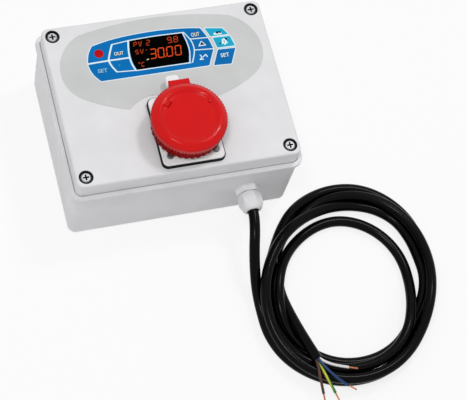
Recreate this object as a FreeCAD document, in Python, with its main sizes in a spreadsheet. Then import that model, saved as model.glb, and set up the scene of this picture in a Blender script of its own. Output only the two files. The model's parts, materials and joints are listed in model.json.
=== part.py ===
# Digital timer: a grey wall box with a membrane front, a capped round socket outlet, a cable gland and a
# free supply cord that lies in a loose coil. Millimetres, +Z out of the lid, +X along the lid's long side.
import FreeCAD, Part
import math
import os
import re
import Sketcher

Vector = FreeCAD.Vector
Rotation = FreeCAD.Rotation

SIZES = {
    # enclosure tray
    "box_width": 240,
    "box_height": 190,
    "box_depth": 107,
    "rim_corner": 12,
    "lid_rise": 20,
    "rim_band": 4.5,
    "rim_overhang": 3,
    "rim_edge_round": 1.2,
    "draft": 0.5,
    "wall": 4,
    "floor_thick": 3.5,
    "floor_round": 4.5,
    "ledge_depth": 4,
    "column_radius": 9,
    "fixing_spacing_x": 170,
    "fixing_spacing_y": 130,
    "fixing_hole_radius": 2.5,
    "fixing_pad_radius": 6,
    "fixing_pad_height": 2,
    # lid, seal and lid screws
    "lid_inset": 5,
    "lip_clear": 0.5,
    "lid_plate": 3.5,
    "lid_wall": 3,
    "lid_edge_round": 2.5,
    "seal_thick": 2,
    "seal_width": 1.6,
    "screw_inset": 10.4,
    "well_radius": 7.3,
    "well_depth": 3.6,
    "lid_boss_radius": 9.5,
    "cup_thick": 0.8,
    "cup_wall": 1.3,
    "cup_clear": 0.15,
    "screw_head_radius": 5.2,
    "screw_head_height": 2.4,
    "screw_head_bevel": 1,
    "screw_radius": 2,
    "screw_length": 36,
    "recess_length": 6.4,
    "recess_width": 1.7,
    "recess_depth": 1.5,
    "thread_clear": 0.1,
    "screw_clear": 0.4,
    # front film, window and display
    "film_thick": 0.4,
    "film_margin": 10,
    "film_side_drop": 9.8,
    "film_top_rise": 39.7,
    "film_shoulder_in": 26,
    "film_shoulder_rise": 30.7,
    "film_shoulder_mid_in": 6.5,
    "film_shoulder_mid_rise": 13.2,
    "film_flank_mid_in": 3.5,
    "film_flank_mid_drop": 26.3,
    "film_flank_in": 21,
    "film_flank_drop": 43.8,
    "film_tip_mid_in": 40,
    "film_tip_mid_drop": 53.3,
    "film_tip_x": 45,
    "film_tip_drop": 59.8,
    "film_notch_mid_x": 33,
    "film_notch_mid_drop": 3,
    "film_notch_x": 24,
    "film_flange_gap": 5.05,
    "panel_drop": 49.2,
    "window_width": 55.6,
    "window_height": 34.4,
    "window_x": -1.2,
    "window_clear": 0.1,
    "display_border": 2.5,
    "display_clear": 0.3,
    "display_gap": 1,
    # control board and what it carries
    "board_width": 158,
    "board_height": 64,
    "board_thick": 1.6,
    "board_drop": 14,
    "post_radius": 4,
    "post_inset": 4.5,
    "board_screw_radius": 1.4,
    "board_screw_head": 2.8,
    "board_screw_head_height": 1.8,
    "board_screw_length": 9,
    "switch_side": 6,
    "switch_height": 3.6,
    "switch_well": 1.8,
    "stem_radius": 1.7,
    "stem_gap": 0.2,
    "stem_clear": 0.9,
    "stem_travel": 0.3,
    "lamp_radius": 1.5,
    "lamp_clear": 0.4,
    "lamp_gap": 0.3,
    "transformer_width": 32,
    "transformer_depth": 27,
    "transformer_height": 22,
    "transformer_x": 52,
    "relay_width": 29,
    "relay_depth": 13,
    "relay_height": 16,
    "relay_x": 12,
    "plug_row_width": 40,
    "plug_row_depth": 10,
    "plug_row_height": 12,
    "plug_row_x": -52,
    # power parts on the rail
    "rail_length": 150,
    "rail_width": 35,
    "rail_crown_width": 27,
    "rail_height": 7.5,
    "rail_thick": 1,
    "rail_y": 38,
    "rail_post_radius": 5,
    "rail_post_height": 4,
    "rail_post_x": 66,
    "rail_screw_radius": 1.7,
    "rail_screw_head": 3.5,
    "rail_screw_head_height": 2,
    "rail_screw_length": 6.5,
    "contactor_width": 45,
    "contactor_depth": 62,
    "contactor_height": 50,
    "contactor_step": 9,
    "contactor_step_depth": 15,
    "contactor_x": -28,
    "terminal_width": 42,
    "terminal_depth": 44,
    "terminal_height": 34,
    "terminal_x": 34,
    "terminal_slope": 9,
    # socket outlet
    "socket_x": 4,
    "socket_rise": 48.7,
    "gasket_thick": 4.2,
    "gasket_proud": 1,
    "flange_width": 63,
    "flange_height": 75.5,
    "flange_corner": 5.5,
    "flange_thick": 2.3,
    "plateau_inset": 3.6,
    "plateau_thick": 0.5,
    "collar_radius": 29.5,
    "collar_wall": 3.5,
    "collar_rise": 3.8,
    "can_depth": 36,
    "shroud_depth": 14,
    "can_floor": 4,
    "can_fit": 1,
    "sleeve_fit": 0.1,
    "shoulder_reach": 0.7,
    "shoulder_height": 2.5,
    "bead_height": 1.2,
    "insert_radius": 20.8,
    "insert_recess": 2.5,
    "insert_neck_radius": 15,
    "insert_neck_fit": 0.2,
    "insert_tail": 12,
    "contact_circle": 13.5,
    "contact_count": 5,
    "contact_radius": 3,
    "contact_wall": 0.6,
    "contact_depth": 28,
    "contact_sink": 2,
    "flange_screw_x": 23.4,
    "flange_screw_y": 28.4,
    "flange_screw_radius": 2,
    "flange_screw_head": 3.5,
    "flange_screw_head_height": 2.2,
    "flange_screw_length": 12,
    # bayonet lugs, the ring that carries two of them, and the hinged cap
    "lug_angle": 24,
    "lock_turn": 35,
    "lug_height": 3,
    "lug_reach": 2.3,
    "lug_clear": 0.7,
    "lug_play": 0.5,
    "ring_floor_gap": 1,
    "ring_lug_gap": 0.5,
    "ring_lug_height": 3.8,
    "ring_flange": 2,
    "ring_wall": 2.3,
    "ring_play": 0.4,
    "ring_rib_clear": 0.3,
    "ring_cap_gap": 0.3,
    "ring_groove_count": 36,
    "ring_groove_radius": 2.2,
    "ring_groove_depth": 0.9,
    "skirt_gap": 0.5,
    "skirt_clear": 0.8,
    "skirt_wall": 2.3,
    "rib_reach": 1.3,
    "rib_height": 1.5,
    "cap_thick": 5,
    "cap_flare": 1.6,
    "cap_brow_in": 6,
    "cap_brow_drop": 4.4,
    "cap_brow_round": 3,
    "cap_rim_width": 9.1,
    "dish_slope": 2.8,
    "dish_depth": 2.2,
    "dish_round": 0.8,
    "cap_tooth_count": 70,
    "cap_tooth_radius": 1.1,
    "cap_tooth_depth": 0.8,
    "cap_seal_thick": 1.2,
    "cap_seal_gap": 0.3,
    "cap_seal_inside": 1.5,
    "cap_seal_outside": 0.4,
    # hinge of the cap
    "hinge_offset": 5.3,
    "hinge_drop": 4.7,
    "hinge_radius": 3.6,
    "hinge_width": 10,
    "hinge_side_gap": 0.3,
    "ear_width": 4.2,
    "ear_radius": 3.4,
    "web_inset": 0.3,
    "pin_radius": 1.5,
    "pin_fit": 0.02,
    "pin_clear": 0.08,
    "tab_width": 21.5,
    "tab_thick": 3.3,
    "tab_overhang": 2.8,
    "tab_root": 3,
    "tongue_width": 14,
    "tongue_shift": 2.5,
    "tongue_clear": 0.4,
    "tongue_high": 9.5,
    "tongue_reach": 16,
    "tongue_corner": 4,
    "stop_start": 1.5,
    "stop_high": 11.8,
    # cable gland
    "gland_x": 66,
    "gland_z": 46.5,
    "gland_pad_radius": 12.2,
    "gland_pad_out": 0.6,
    "gland_pad_in": 1,
    "gland_hole_clear": 0.3,
    "gland_washer_thick": 1.2,
    "gland_hex": 22,
    "gland_hex_length": 6,
    "gland_thread_radius": 10,
    "gland_thread_inside": 10,
    "gland_front_radius": 9.5,
    "gland_front_length": 9,
    "gland_bore_clear": 1.1,
    "locknut_hex": 26,
    "locknut_length": 5,
    "nut_hex": 22,
    "nut_turn": 15,
    "nut_bevel": 3,
    "nut_gap": 0.5,
    "nut_length": 19,
    "nut_dome": 8,
    "nut_mouth_clear": 0.7,
    "nut_mouth_length": 3.5,
    "nut_fit": 0.3,
    "seal_grip": 0.5,
    # supply cord
    "cord_radius": 5.5,
    "coil_x": 153,
    "coil_y": -200.6,
    "coil_outer_x": 92,
    "coil_outer_y": 112.5,
    "coil_outer_turn": 61.4,
    "coil_hole_x": 58,
    "coil_hole_y": 70,
    "coil_hole_turn": 90,
    "coil_height": 17,
    "coil_round": 5.5,
    "core_radius": 1.45,
    "tip_radius": 0.85,
    "tip_length": 10,
}

# Places of the seven keys and of the three indicator lamps, from the middle of the control panel.
KEYS = {
    "set_left": (-63.4, -12.6),
    "function": (-42.9, -10.5),
    "up": (44.3, 2.2),
    "down": (42.5, -13.4),
    "set_right": (64.9, -14.7),
    "mode_upper": (62.6, 12.8),
    "mode_lower": (66, 0.7),
}
LAMPS = {
    "run": (-62.5, 7),
    "output_left": (-42.4, 4.2),
    "output_right": (40.8, 14.2),
}

# Routes of the cord: its free stretch after the gland, its end over the coil, and its four bared cores.
CORD_ROUTE = [
    (66, -124, 46.5),
    (63.4, -140.6, 45.7),
    (60, -157.6, 40),
    (58.4, -176.2, 28.4),
    (57.9, -193.5, 14.9),
    (58.4, -213.9, 6.7),
    (59.8, -235.8, 5.5),
]
CORD_END_ROUTE = [
    (86.5, -231, 22.8),
    (93, -252, 22.9),
    (102, -273, 22.8),
]
CORE_ROUTES = {
    "core_brown": [(99.7, -274, 22.8), (98.6, -287, 21.6), (97.4, -301, 17.5), (96.4, -315, 9)],
    "core_green_yellow": [(102, -273, 20.3), (104, -288.4, 20.8), (106.6, -302.4, 19), (109.6, -315, 13)],
    "core_blue": [(102, -273, 25.3), (109.5, -286, 22), (117.3, -297, 20.8), (125.6, -307.5, 19)],
    "core_white": [(104.3, -272, 22.8), (112, -278.6, 20.5), (122, -283.4, 19), (132.5, -286.6, 19)],
}

# Sizes and places that follow from the driving ones, so that pieces which fit together move together.
DERIVED = {
    "rim_high": "box_depth - lid_rise",
    "rim_low": "rim_high - rim_band",
    "tray_width": "box_width - 2 * rim_overhang - 2 * rim_low * tan(draft)",
    "tray_height": "box_height - 2 * rim_overhang - 2 * rim_low * tan(draft)",
    "tray_corner": "rim_corner - rim_overhang - rim_low * tan(draft)",
    "ledge": "rim_high - ledge_depth",
    "lid_low": "ledge + seal_thick",
    "lid_under": "box_depth - lid_plate",
    "lid_width": "box_width - 2 * lid_inset",
    "lid_height": "box_height - 2 * lid_inset",
    "lid_corner": "rim_corner - lid_inset",
    "screw_x": "lid_width / 2 - screw_inset",
    "screw_y": "lid_height / 2 - screw_inset",
    "well_floor": "box_depth - well_depth",
    "screw_seat": "well_floor + cup_thick",
    "panel_y": "box_height / 2 - panel_drop",
    "film_side": "lid_width / 2 - film_margin",
    "board_top": "lid_under - board_drop",
    "board_low": "board_top - board_thick",
    "post_x": "board_width / 2 - post_inset",
    "post_y": "board_height / 2 - post_inset",
    "switch_top": "board_top + switch_height",
    "rail_seat": "floor_thick + rail_post_height",
    "rail_top": "rail_seat + rail_height",
    "socket_y": "socket_rise - box_height / 2",
    "flange_low": "box_depth + gasket_thick",
    "tongue_low": "gasket_thick + tongue_clear",
    "plateau_top": "flange_low + flange_thick + plateau_thick",
    "ring_low": "plateau_top - box_depth + flange_screw_head_height + ring_floor_gap",
    "ring_lug_low": "ring_low + ring_lug_gap",
    "ring_lug_high": "ring_lug_low + ring_lug_height",
    "lug_low": "ring_lug_high + lug_play",
    "lug_high": "lug_low + lug_height",
    "skirt_low": "lug_high + skirt_gap",
    "rib_top": "skirt_low + rib_height",
    "ring_shelf": "rib_top + ring_play",
    "ring_top": "ring_shelf + ring_flange",
    "cap_low": "ring_top + ring_cap_gap",
    "collar_height": "cap_low + collar_rise",
    "cap_under": "collar_height + cap_seal_gap + cap_seal_thick",
    "cap_top": "cap_under + cap_thick",
    "collar_bore": "collar_radius - collar_wall",
    "collar_floor": "0 - shroud_depth",
    "skirt_inner": "collar_radius + skirt_clear",
    "skirt_outer": "skirt_inner + skirt_wall",
    "rib_outer": "skirt_outer + rib_reach",
    "ring_inner": "rib_outer + ring_rib_clear",
    "cap_radius": "ring_inner + ring_wall",
    "cap_edge": "cap_radius + cap_flare",
    "cap_brow": "cap_edge - cap_brow_in",
    "dish_radius": "cap_edge - cap_rim_width",
    "hinge_y": "socket_y + cap_radius + hinge_offset",
    "hinge_z": "box_depth + cap_low - hinge_drop",
    "ear_start": "hinge_width / 2 + hinge_side_gap",
    "wall_y": "box_height / 2 - rim_overhang - (rim_low - gland_z) * tan(draft)",
    "gland_face": "wall_y + gland_pad_out",
    "gland_back": "wall_y - wall - gland_pad_in",
    "gland_hole_radius": "gland_thread_radius + gland_hole_clear",
    "washer_end": "gland_face + gland_washer_thick",
    "hex_end": "washer_end + gland_hex_length",
    "front_end": "hex_end + gland_front_length",
    "nut_start": "hex_end + nut_gap",
    "nut_mouth": "nut_start + nut_length - nut_mouth_length",
}

WORDS = re.compile(r"[a-z][a-z_0-9]*")
FUNCTIONS = {"tan", "sin", "cos", "sqrt"}
ALONG_MINUS_Y = Rotation(Vector(1, 0, 0), 90)
ALONG_X = Rotation(Vector(0, 1, 0), 90)

doc = FreeCAD.newDocument("digital_timer")
sheet = doc.addObject("Spreadsheet::Sheet", "Sizes")
for row, (alias, number) in enumerate(SIZES.items(), start=1):
    sheet.set(f"A{row}", alias)
    sheet.set(f"B{row}", str(number))
    sheet.setAlias(f"B{row}", alias)
doc.recompute()


def cells(text):
    """Turn the size names in an expression into references to the sheet."""
    def refer(match):
        word = match.group(0)
        if word in DERIVED:
            return "(" + cells(DERIVED[word]) + ")"
        return word if word in FUNCTIONS else "Sizes." + word
    return WORDS.sub(refer, str(text))


probe = doc.addObject("App::FeaturePython", "Probe")


def value(text):
    """Give an expression's present value in millimetres or degrees."""
    return float(probe.evalExpression(cells(text)))


def bind(obj, **expressions):
    """Bind an object's properties to the sheet; x, y and z stand for its place."""
    places = {"x": "Placement.Base.x", "y": "Placement.Base.y", "z": "Placement.Base.z"}
    for name, text in expressions.items():
        obj.setExpression(places.get(name, name), cells(text))
    return obj


def cylinder(name, radius, height, x="0", y="0", z="0", turn=None, angle="360"):
    """Make a cylinder, or a sector of one, standing on its place or laid along a turn."""
    obj = doc.addObject("Part::Cylinder", name)
    if turn is not None:
        obj.Placement = FreeCAD.Placement(Vector(), turn)
    return bind(obj, Radius=radius, Height=height, Angle=angle, x=x, y=y, z=z)


def block(name, length, width, height, x, y, z):
    """Make a box from its lowest corner."""
    obj = doc.addObject("Part::Box", name)
    return bind(obj, Length=length, Width=width, Height=height, x=x, y=y, z=z)


def centred_block(name, length, width, height, x, y, z):
    """Make a box centred on x and y that stands on z."""
    return block(name, length, width, height, f"({x}) - ({length}) / 2", f"({y}) - ({width}) / 2", z)


def hexagon(name, across_flats, height, x, y, z, turn=None):
    """Make a hexagonal prism from its width across flats."""
    obj = doc.addObject("Part::Prism", name)
    obj.Polygon = 6
    if turn is not None:
        obj.Placement = FreeCAD.Placement(Vector(), turn)
    return bind(obj, Circumradius=f"({across_flats}) / sqrt(3)", Height=height, x=x, y=y, z=z)


def fuse(name, *pieces):
    """Join pieces into one solid."""
    obj = doc.addObject("Part::MultiFuse", name)
    obj.Shapes = list(pieces)
    obj.Refine = True
    return obj


def cut(name, base, *tools):
    """Cut tools out of a base."""
    tool = tools[0]
    if len(tools) > 1:
        tool = doc.addObject("Part::Compound", name + "_tools")
        tool.Links = list(tools)
    obj = doc.addObject("Part::Cut", name)
    obj.Base = base
    obj.Tool = tool
    obj.Refine = True
    return obj


def common(name, first, second):
    """Keep what two pieces share."""
    obj = doc.addObject("Part::Common", name)
    obj.Base = first
    obj.Tool = second
    return obj


def group(name, pieces):
    """Hold identical pieces together as separate solids."""
    obj = doc.addObject("Part::Compound", name)
    obj.Links = list(pieces)
    return obj


def soften(name, base, radius, pick):
    """Round the edges of a base that pick chooses."""
    doc.recompute()
    size = value(radius)
    chosen = [n for n, edge in enumerate(base.Shape.Edges, start=1) if pick(edge)]
    obj = doc.addObject("Part::Fillet", name)
    obj.Base = base
    obj.Edges = [(n, size, size) for n in chosen]
    return obj


def at_height(z):
    """Pick the edges that lie wholly at one height."""
    level = value(z)
    return lambda edge: abs(edge.BoundBox.ZMin - level) < 1e-4 and abs(edge.BoundBox.ZMax - level) < 1e-4


def body_sketch(body, role, lift="0"):
    """Attach a sketch to one of a body's own planes, lifted along that plane's normal."""
    sketch = body.newObject("Sketcher::SketchObject", body.Name + "_sketch")
    plane = next(item for item in body.Origin.OriginFeatures if item.Role == role)
    sketch.AttachmentSupport = [(plane, "")]
    sketch.MapMode = "FlatFace"
    sketch.setExpression("AttachmentOffset.Base.z", cells(lift))
    return sketch


def hold(sketch, kind, *where, size):
    """Add a dimension to a sketch and bind it to the sheet."""
    index = sketch.addConstraint(Sketcher.Constraint(kind, *where, value(size)))
    sketch.setExpression(f"Constraints[{index}]", cells(size))


def rounded_outline(sketch, width, height, corner):
    """Draw a rounded rectangle centred on the sketch's origin."""
    half_w = value(width) / 2
    half_h = value(height) / 2
    r = value(corner)
    quarter = math.pi / 2
    in_x = half_w - r
    in_y = half_h - r
    sides = [
        ((-in_x, -half_h), (in_x, -half_h)),
        ((half_w, -in_y), (half_w, in_y)),
        ((in_x, half_h), (-in_x, half_h)),
        ((-half_w, in_y), (-half_w, -in_y)),
    ]
    centres = [(in_x, -in_y), (in_x, in_y), (-in_x, in_y), (-in_x, -in_y)]
    for start, end in sides:
        sketch.addGeometry(Part.LineSegment(Vector(*start, 0), Vector(*end, 0)))
    for n, centre in enumerate(centres):
        circle = Part.Circle(Vector(*centre, 0), Vector(0, 0, 1), r)
        sketch.addGeometry(Part.ArcOfCircle(circle, (n - 1) * quarter, n * quarter))
    for n in range(4):
        sketch.addConstraint(Sketcher.Constraint("Tangent", n, 2, 4 + n, 1))
        sketch.addConstraint(Sketcher.Constraint("Tangent", 4 + n, 2, (n + 1) % 4, 1))
        sketch.addConstraint(Sketcher.Constraint("Vertical" if n % 2 else "Horizontal", n))
    for n in range(5, 8):
        sketch.addConstraint(Sketcher.Constraint("Equal", 4, n))
    hold(sketch, "Radius", 4, size=corner)
    hold(sketch, "DistanceX", 3, 1, 1, 1, size=width)
    hold(sketch, "DistanceY", 0, 1, 2, 1, size=height)
    sketch.addConstraint(Sketcher.Constraint("Symmetric", 4, 3, 6, 3, -1, 1))


def rounded_prism(name, width, height, corner, low, high, x="0", y="0", taper="0"):
    """Pad a rounded rectangle from one height to another, with draft if asked."""
    body = doc.addObject("PartDesign::Body", name)
    sketch = body_sketch(body, "XY_Plane", low)
    rounded_outline(sketch, width, height, corner)
    pad = body.newObject("PartDesign::Pad", name + "_pad")
    pad.Profile = sketch
    bind(pad, Length=f"({high}) - ({low})", TaperAngle=taper)
    return bind(body, x=x, y=y)


def polygon(sketch, points):
    """Draw a closed polygon with both coordinates of every corner bound to the sheet."""
    spots = [Vector(value(px), value(py), 0) for px, py in points]
    count = len(points)
    for n in range(count):
        sketch.addGeometry(Part.LineSegment(spots[n], spots[(n + 1) % count]))
    for n in range(count):
        sketch.addConstraint(Sketcher.Constraint("Coincident", n, 2, (n + 1) % count, 1))
    for n, (px, py) in enumerate(points):
        if px == "0":
            sketch.addConstraint(Sketcher.Constraint("PointOnObject", n, 1, -2))
        else:
            hold(sketch, "DistanceX", -1, 1, n, 1, size=px)
        if py == "0":
            sketch.addConstraint(Sketcher.Constraint("PointOnObject", n, 1, -1))
        else:
            hold(sketch, "DistanceY", -1, 1, n, 1, size=py)


def turned(name, profile, x="0", y="0", z="0", turn=None):
    """Revolve a profile of radius and height about the piece's own axis."""
    body = doc.addObject("PartDesign::Body", name)
    sketch = body_sketch(body, "XZ_Plane")
    polygon(sketch, profile)
    spin = body.newObject("PartDesign::Revolution", name + "_turn")
    spin.Profile = sketch
    spin.ReferenceAxis = (sketch, ["V_Axis"])
    spin.Angle = 360
    if turn is not None:
        body.Placement = FreeCAD.Placement(Vector(), turn)
    return bind(body, x=x, y=y, z=z)


def extruded(name, role, points, start, length):
    """Pad a polygon from a start along its plane's normal."""
    body = doc.addObject("PartDesign::Body", name)
    sketch = body_sketch(body, role, start)
    polygon(sketch, points)
    pad = body.newObject("PartDesign::Pad", name + "_pad")
    pad.Profile = sketch
    bind(pad, Length=length)
    return body


CORNERS = [(1, 1), (1, -1), (-1, 1), (-1, -1)]
nodes = []


def node(name, obj):
    """Keep a finished sub-part under the name of its file."""
    obj.Label = name
    nodes.append(obj)
    return obj


def at_corners(maker, spacing_x, spacing_y, x="0", y="0"):
    """Repeat a piece at the corners of a rectangle whose middle is at x and y."""
    return [
        maker(n, f"({x}) + {side_x} * ({spacing_x})", f"({y}) + {side_y} * ({spacing_y})")
        for n, (side_x, side_y) in enumerate(CORNERS, start=1)
    ]


def at_ends(maker, distance):
    """Repeat a piece at both ends of a line through the middle."""
    return [maker(n, f"{side} * {distance}") for n, side in enumerate((1, -1), start=1)]


def make_base_box():
    """Moulded tray with rim lip, screw columns, fixing pads, rail posts and gland pad."""
    tray = rounded_prism("tray", "tray_width", "tray_height", "tray_corner", "0", "rim_low", taper="draft")
    tray = soften("tray_soft", tray, "floor_round", at_height("0"))
    rim = rounded_prism("rim", "box_width", "box_height", "rim_corner", "rim_low", "rim_high")
    rim_edges = at_height("rim_low"), at_height("rim_high")
    rim = soften("rim_soft", rim, "rim_edge_round", lambda edge: any(test(edge) for test in rim_edges))
    inward = "2 * wall - 2 * floor_thick * tan(draft)"
    cavity = rounded_prism("cavity", f"tray_width - ({inward})", f"tray_height - ({inward})",
                           "rim_corner - rim_overhang - wall", "floor_thick", "ledge + 1", taper="draft")
    recess = rounded_prism("lip_recess", "lid_width + 2 * lip_clear", "lid_height + 2 * lip_clear",
                           "lid_corner + lip_clear", "ledge", "rim_high + 1")
    shell = cut("tray_shell", fuse("tray_and_rim", tray, rim), cavity, recess)
    half = "floor_thick / 2"
    gland_pad = cylinder("gland_pad", "gland_pad_radius", "gland_face - gland_back", "gland_x", "-gland_back",
                         "gland_z", ALONG_MINUS_Y)
    columns = at_corners(
        lambda n, x, y: cylinder(f"column_{n}", "column_radius", f"ledge - {half}", x, y, half), "screw_x",
        "screw_y")
    pads = at_corners(
        lambda n, x, y: cylinder(f"fixing_pad_{n}", "fixing_pad_radius", f"{half} + fixing_pad_height", x,
                                 y, half),
        "fixing_spacing_x / 2", "fixing_spacing_y / 2")
    posts = at_ends(
        lambda n, x: cylinder(f"rail_post_{n}", "rail_post_radius", f"rail_seat - {half}", x, "rail_y", half),
        "rail_post_x")
    solid = fuse("tray_solid", shell, gland_pad, *columns, *pads, *posts)
    pilots = at_corners(
        lambda n, x, y: cylinder(f"pilot_{n}", "screw_radius + thread_clear", "screw_length", x, y,
                                 "screw_seat - screw_length - 1"), "screw_x", "screw_y")
    fixings = at_corners(
        lambda n, x, y: cylinder(f"fixing_hole_{n}", "fixing_hole_radius",
                                 "floor_thick + fixing_pad_height + 2",
                                 x, y, "-1"), "fixing_spacing_x / 2", "fixing_spacing_y / 2")
    rail_pilots = at_ends(
        lambda n, x: cylinder(f"rail_pilot_{n}", "rail_screw_radius + thread_clear", "rail_screw_length", x,
                              "rail_y",
                              "rail_seat + rail_thick - rail_screw_length - thread_clear"), "rail_post_x")
    entry = cylinder("gland_hole", "gland_hole_radius", "gland_face - gland_back + 2", "gland_x",
                     "1 - gland_back",
                     "gland_z", ALONG_MINUS_Y)
    return node("base_box", cut("base_box", solid, entry, *pilots, *fixings, *rail_pilots))


def make_front_lid():
    """Cover that nests in the rim lip, with wells, cut-outs and posts for the board."""
    plate = rounded_prism("lid_block", "lid_width", "lid_height", "lid_corner", "lid_low", "box_depth")
    plate = soften("lid_soft", plate, "lid_edge_round", at_height("box_depth"))
    hollow = rounded_prism("lid_hollow", "lid_width - 2 * lid_wall", "lid_height - 2 * lid_wall",
                           "lid_corner - lid_wall", "lid_low - 1", "lid_under")
    shell = cut("lid_shell", plate, hollow)
    bosses = at_corners(
        lambda n, x, y: cylinder(f"lid_boss_{n}", "lid_boss_radius", "lid_under + lid_plate / 2 - lid_low",
                                 x, y,
                                 "lid_low"), "screw_x", "screw_y")
    posts = at_corners(
        lambda n, x, y: cylinder(f"board_post_{n}", "post_radius", "board_drop + lid_plate / 2", x, y,
                                 "board_top"),
        "post_x", "post_y", y="panel_y")
    solid = fuse("lid_solid", shell, *bosses, *posts)
    wells = at_corners(
        lambda n, x, y: cylinder(f"well_{n}", "well_radius", "well_depth + 1", x, y, "well_floor"),
        "screw_x", "screw_y")
    bores = at_corners(
        lambda n, x, y: cylinder(f"lid_bore_{n}", "screw_radius + screw_clear", "box_depth - lid_low + 2",
                                 x, y,
                                 "lid_low - 1"), "screw_x", "screw_y")
    pilots = at_corners(
        lambda n, x, y: cylinder(f"board_pilot_{n}", "board_screw_radius + thread_clear",
                                 "board_screw_length + thread_clear", x, y, "board_low"),
        "post_x", "post_y", y="panel_y")
    through = "lid_plate + 2"
    under = "lid_under - 1"
    opening = cylinder("socket_opening", "collar_radius + can_fit", through, "socket_x", "socket_y", under)
    flange_holes = at_corners(
        lambda n, x, y: cylinder(f"flange_pilot_{n}", "flange_screw_radius + thread_clear", through, x, y,
                                 under),
        "flange_screw_x", "flange_screw_y", "socket_x", "socket_y")
    window = centred_block("window_opening", "window_width - 2 * display_border",
                           "window_height - 2 * display_border",
                           through, "window_x", "panel_y", under)
    holes = [cylinder(f"key_hole_{name}", "stem_radius + stem_clear", through, x, f"panel_y + ({y})", under)
             for name, (x, y) in KEYS.items()]
    holes += [cylinder(f"lamp_hole_{name}", "lamp_radius + lamp_clear", through, x, f"panel_y + ({y})", under)
              for name, (x, y) in LAMPS.items()]
    return node("front_lid", cut("front_lid", solid, *wells, *bores, *pilots, opening, *flange_holes,
                                 window, *holes))


def make_lid_seal():
    """Rubber frame that the lid's wall presses on the tray's ledge."""
    outer = rounded_prism("seal_outer", "lid_width", "lid_height", "lid_corner", "ledge", "lid_low")
    inner = rounded_prism("seal_inner", "lid_width - 2 * seal_width", "lid_height - 2 * seal_width",
                          "lid_corner - seal_width", "ledge - 1", "lid_low + 1")
    return node("lid_seal", cut("lid_seal", outer, inner))


def cross_recess(name, x, y, top):
    """Make the cutter of a cross recess under the top of a screw head."""
    low = f"({top}) - recess_depth"
    blade = centred_block(f"{name}_blade", "recess_length", "recess_width", "recess_depth + 1", x, y, low)
    cross = centred_block(f"{name}_cross", "recess_width", "recess_length", "recess_depth + 1", x, y, low)
    return fuse(name, blade, cross)


def make_lid_screws():
    """Four pan-head screws with cross recesses, sunk in the lid's wells."""
    profile = [
        ("0", "0"), ("screw_head_radius", "0"), ("screw_head_radius", "screw_head_height - screw_head_bevel"),
        ("screw_head_radius - screw_head_bevel", "screw_head_height"), ("0", "screw_head_height"),
    ]

    def screw(n, x, y):
        head = turned(f"lid_screw_head_{n}", profile, x, y, "screw_seat")
        shank = cylinder(f"lid_screw_shank_{n}", "screw_radius", "screw_length", x, y,
                         "screw_seat - screw_length")
        recess = cross_recess(f"lid_screw_recess_{n}", x, y, "screw_seat + screw_head_height")
        return cut(f"lid_screw_{n}", fuse(f"lid_screw_blank_{n}", head, shank), recess)

    return node("lid_screws", group("lid_screws", at_corners(screw, "screw_x", "screw_y")))


def make_screw_washers():
    """Four black sealing cups that line the wells under the screw heads."""
    bore = "screw_radius + screw_clear"
    outer = "well_radius - cup_clear"
    profile = [
        (bore, "0"), (outer, "0"), (outer, "well_depth"), (f"{outer} - cup_wall", "well_depth"),
        (f"{outer} - cup_wall", "cup_thick"), (bore, "cup_thick"),
    ]
    cups = at_corners(lambda n, x, y: turned(f"screw_cup_{n}", profile, x, y, "well_floor"), "screw_x",
                      "screw_y")
    return node("screw_washers", group("screw_washers", cups))


def make_panel_overlay():
    """Printed film with a lens-shaped outline, notched round the socket's flange."""
    foot_y = "(socket_y + flange_height / 2 + gasket_proud + film_flange_gap)"
    half = [
        ("film_side - film_shoulder_in", "panel_y + film_shoulder_rise"),
        ("film_side - film_shoulder_mid_in", "panel_y + film_shoulder_mid_rise"),
        ("film_side", "panel_y - film_side_drop"),
        ("film_side - film_flank_mid_in", "panel_y - film_flank_mid_drop"),
        ("film_side - film_flank_in", "panel_y - film_flank_drop"),
        ("film_side - film_tip_mid_in", "panel_y - film_tip_mid_drop"),
        ("film_tip_x", "panel_y - film_tip_drop"),
        ("film_notch_mid_x", f"{foot_y} - film_notch_mid_drop"),
        ("film_notch_x", foot_y),
    ]
    right = [Vector(value(x), value(y), 0) for x, y in half]
    left = [Vector(-spot.x, spot.y, 0) for spot in right]
    top = Vector(0, value("panel_y + film_top_rise"), 0)
    edges = [Part.Arc(left[0], top, right[0]).toShape(), Part.LineSegment(right[-1], left[-1]).toShape()]
    for side in (right, left):
        for n in range(0, len(side) - 2, 2):
            edges.append(Part.Arc(side[n], side[n + 1], side[n + 2]).toShape())
    outline = Part.Wire(Part.__sortEdges__(edges))
    blank = doc.addObject("Part::Feature", "film_blank")
    blank.Shape = Part.Face(outline).extrude(Vector(0, 0, value("film_thick")))
    blank.Placement = FreeCAD.Placement(Vector(0, 0, value("box_depth")), Rotation())
    window = centred_block("film_window", "window_width", "window_height", "film_thick + 2", "window_x",
                           "panel_y",
                           "box_depth - 1")
    return node("panel_overlay", cut("panel_overlay", blank, window))


def make_display():
    """Dark window in the film and the display module behind the lid's opening."""
    node("display_window", centred_block("display_window", "window_width - 2 * window_clear",
                                         "window_height - 2 * window_clear", "film_thick", "window_x",
                                         "panel_y",
                                         "box_depth"))
    front_width = "window_width - 2 * display_border - 2 * display_clear"
    front_height = "window_height - 2 * display_border - 2 * display_clear"
    front = centred_block("display_front", front_width, front_height, "lid_plate", "window_x", "panel_y",
                          "lid_under - display_gap")
    can = centred_block("display_can", "window_width + 2 * display_border",
                        "window_height + 2 * display_border",
                        "board_drop - display_gap", "window_x", "panel_y", "board_top")
    return node("display_module", fuse("display_module", can, front))


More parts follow.
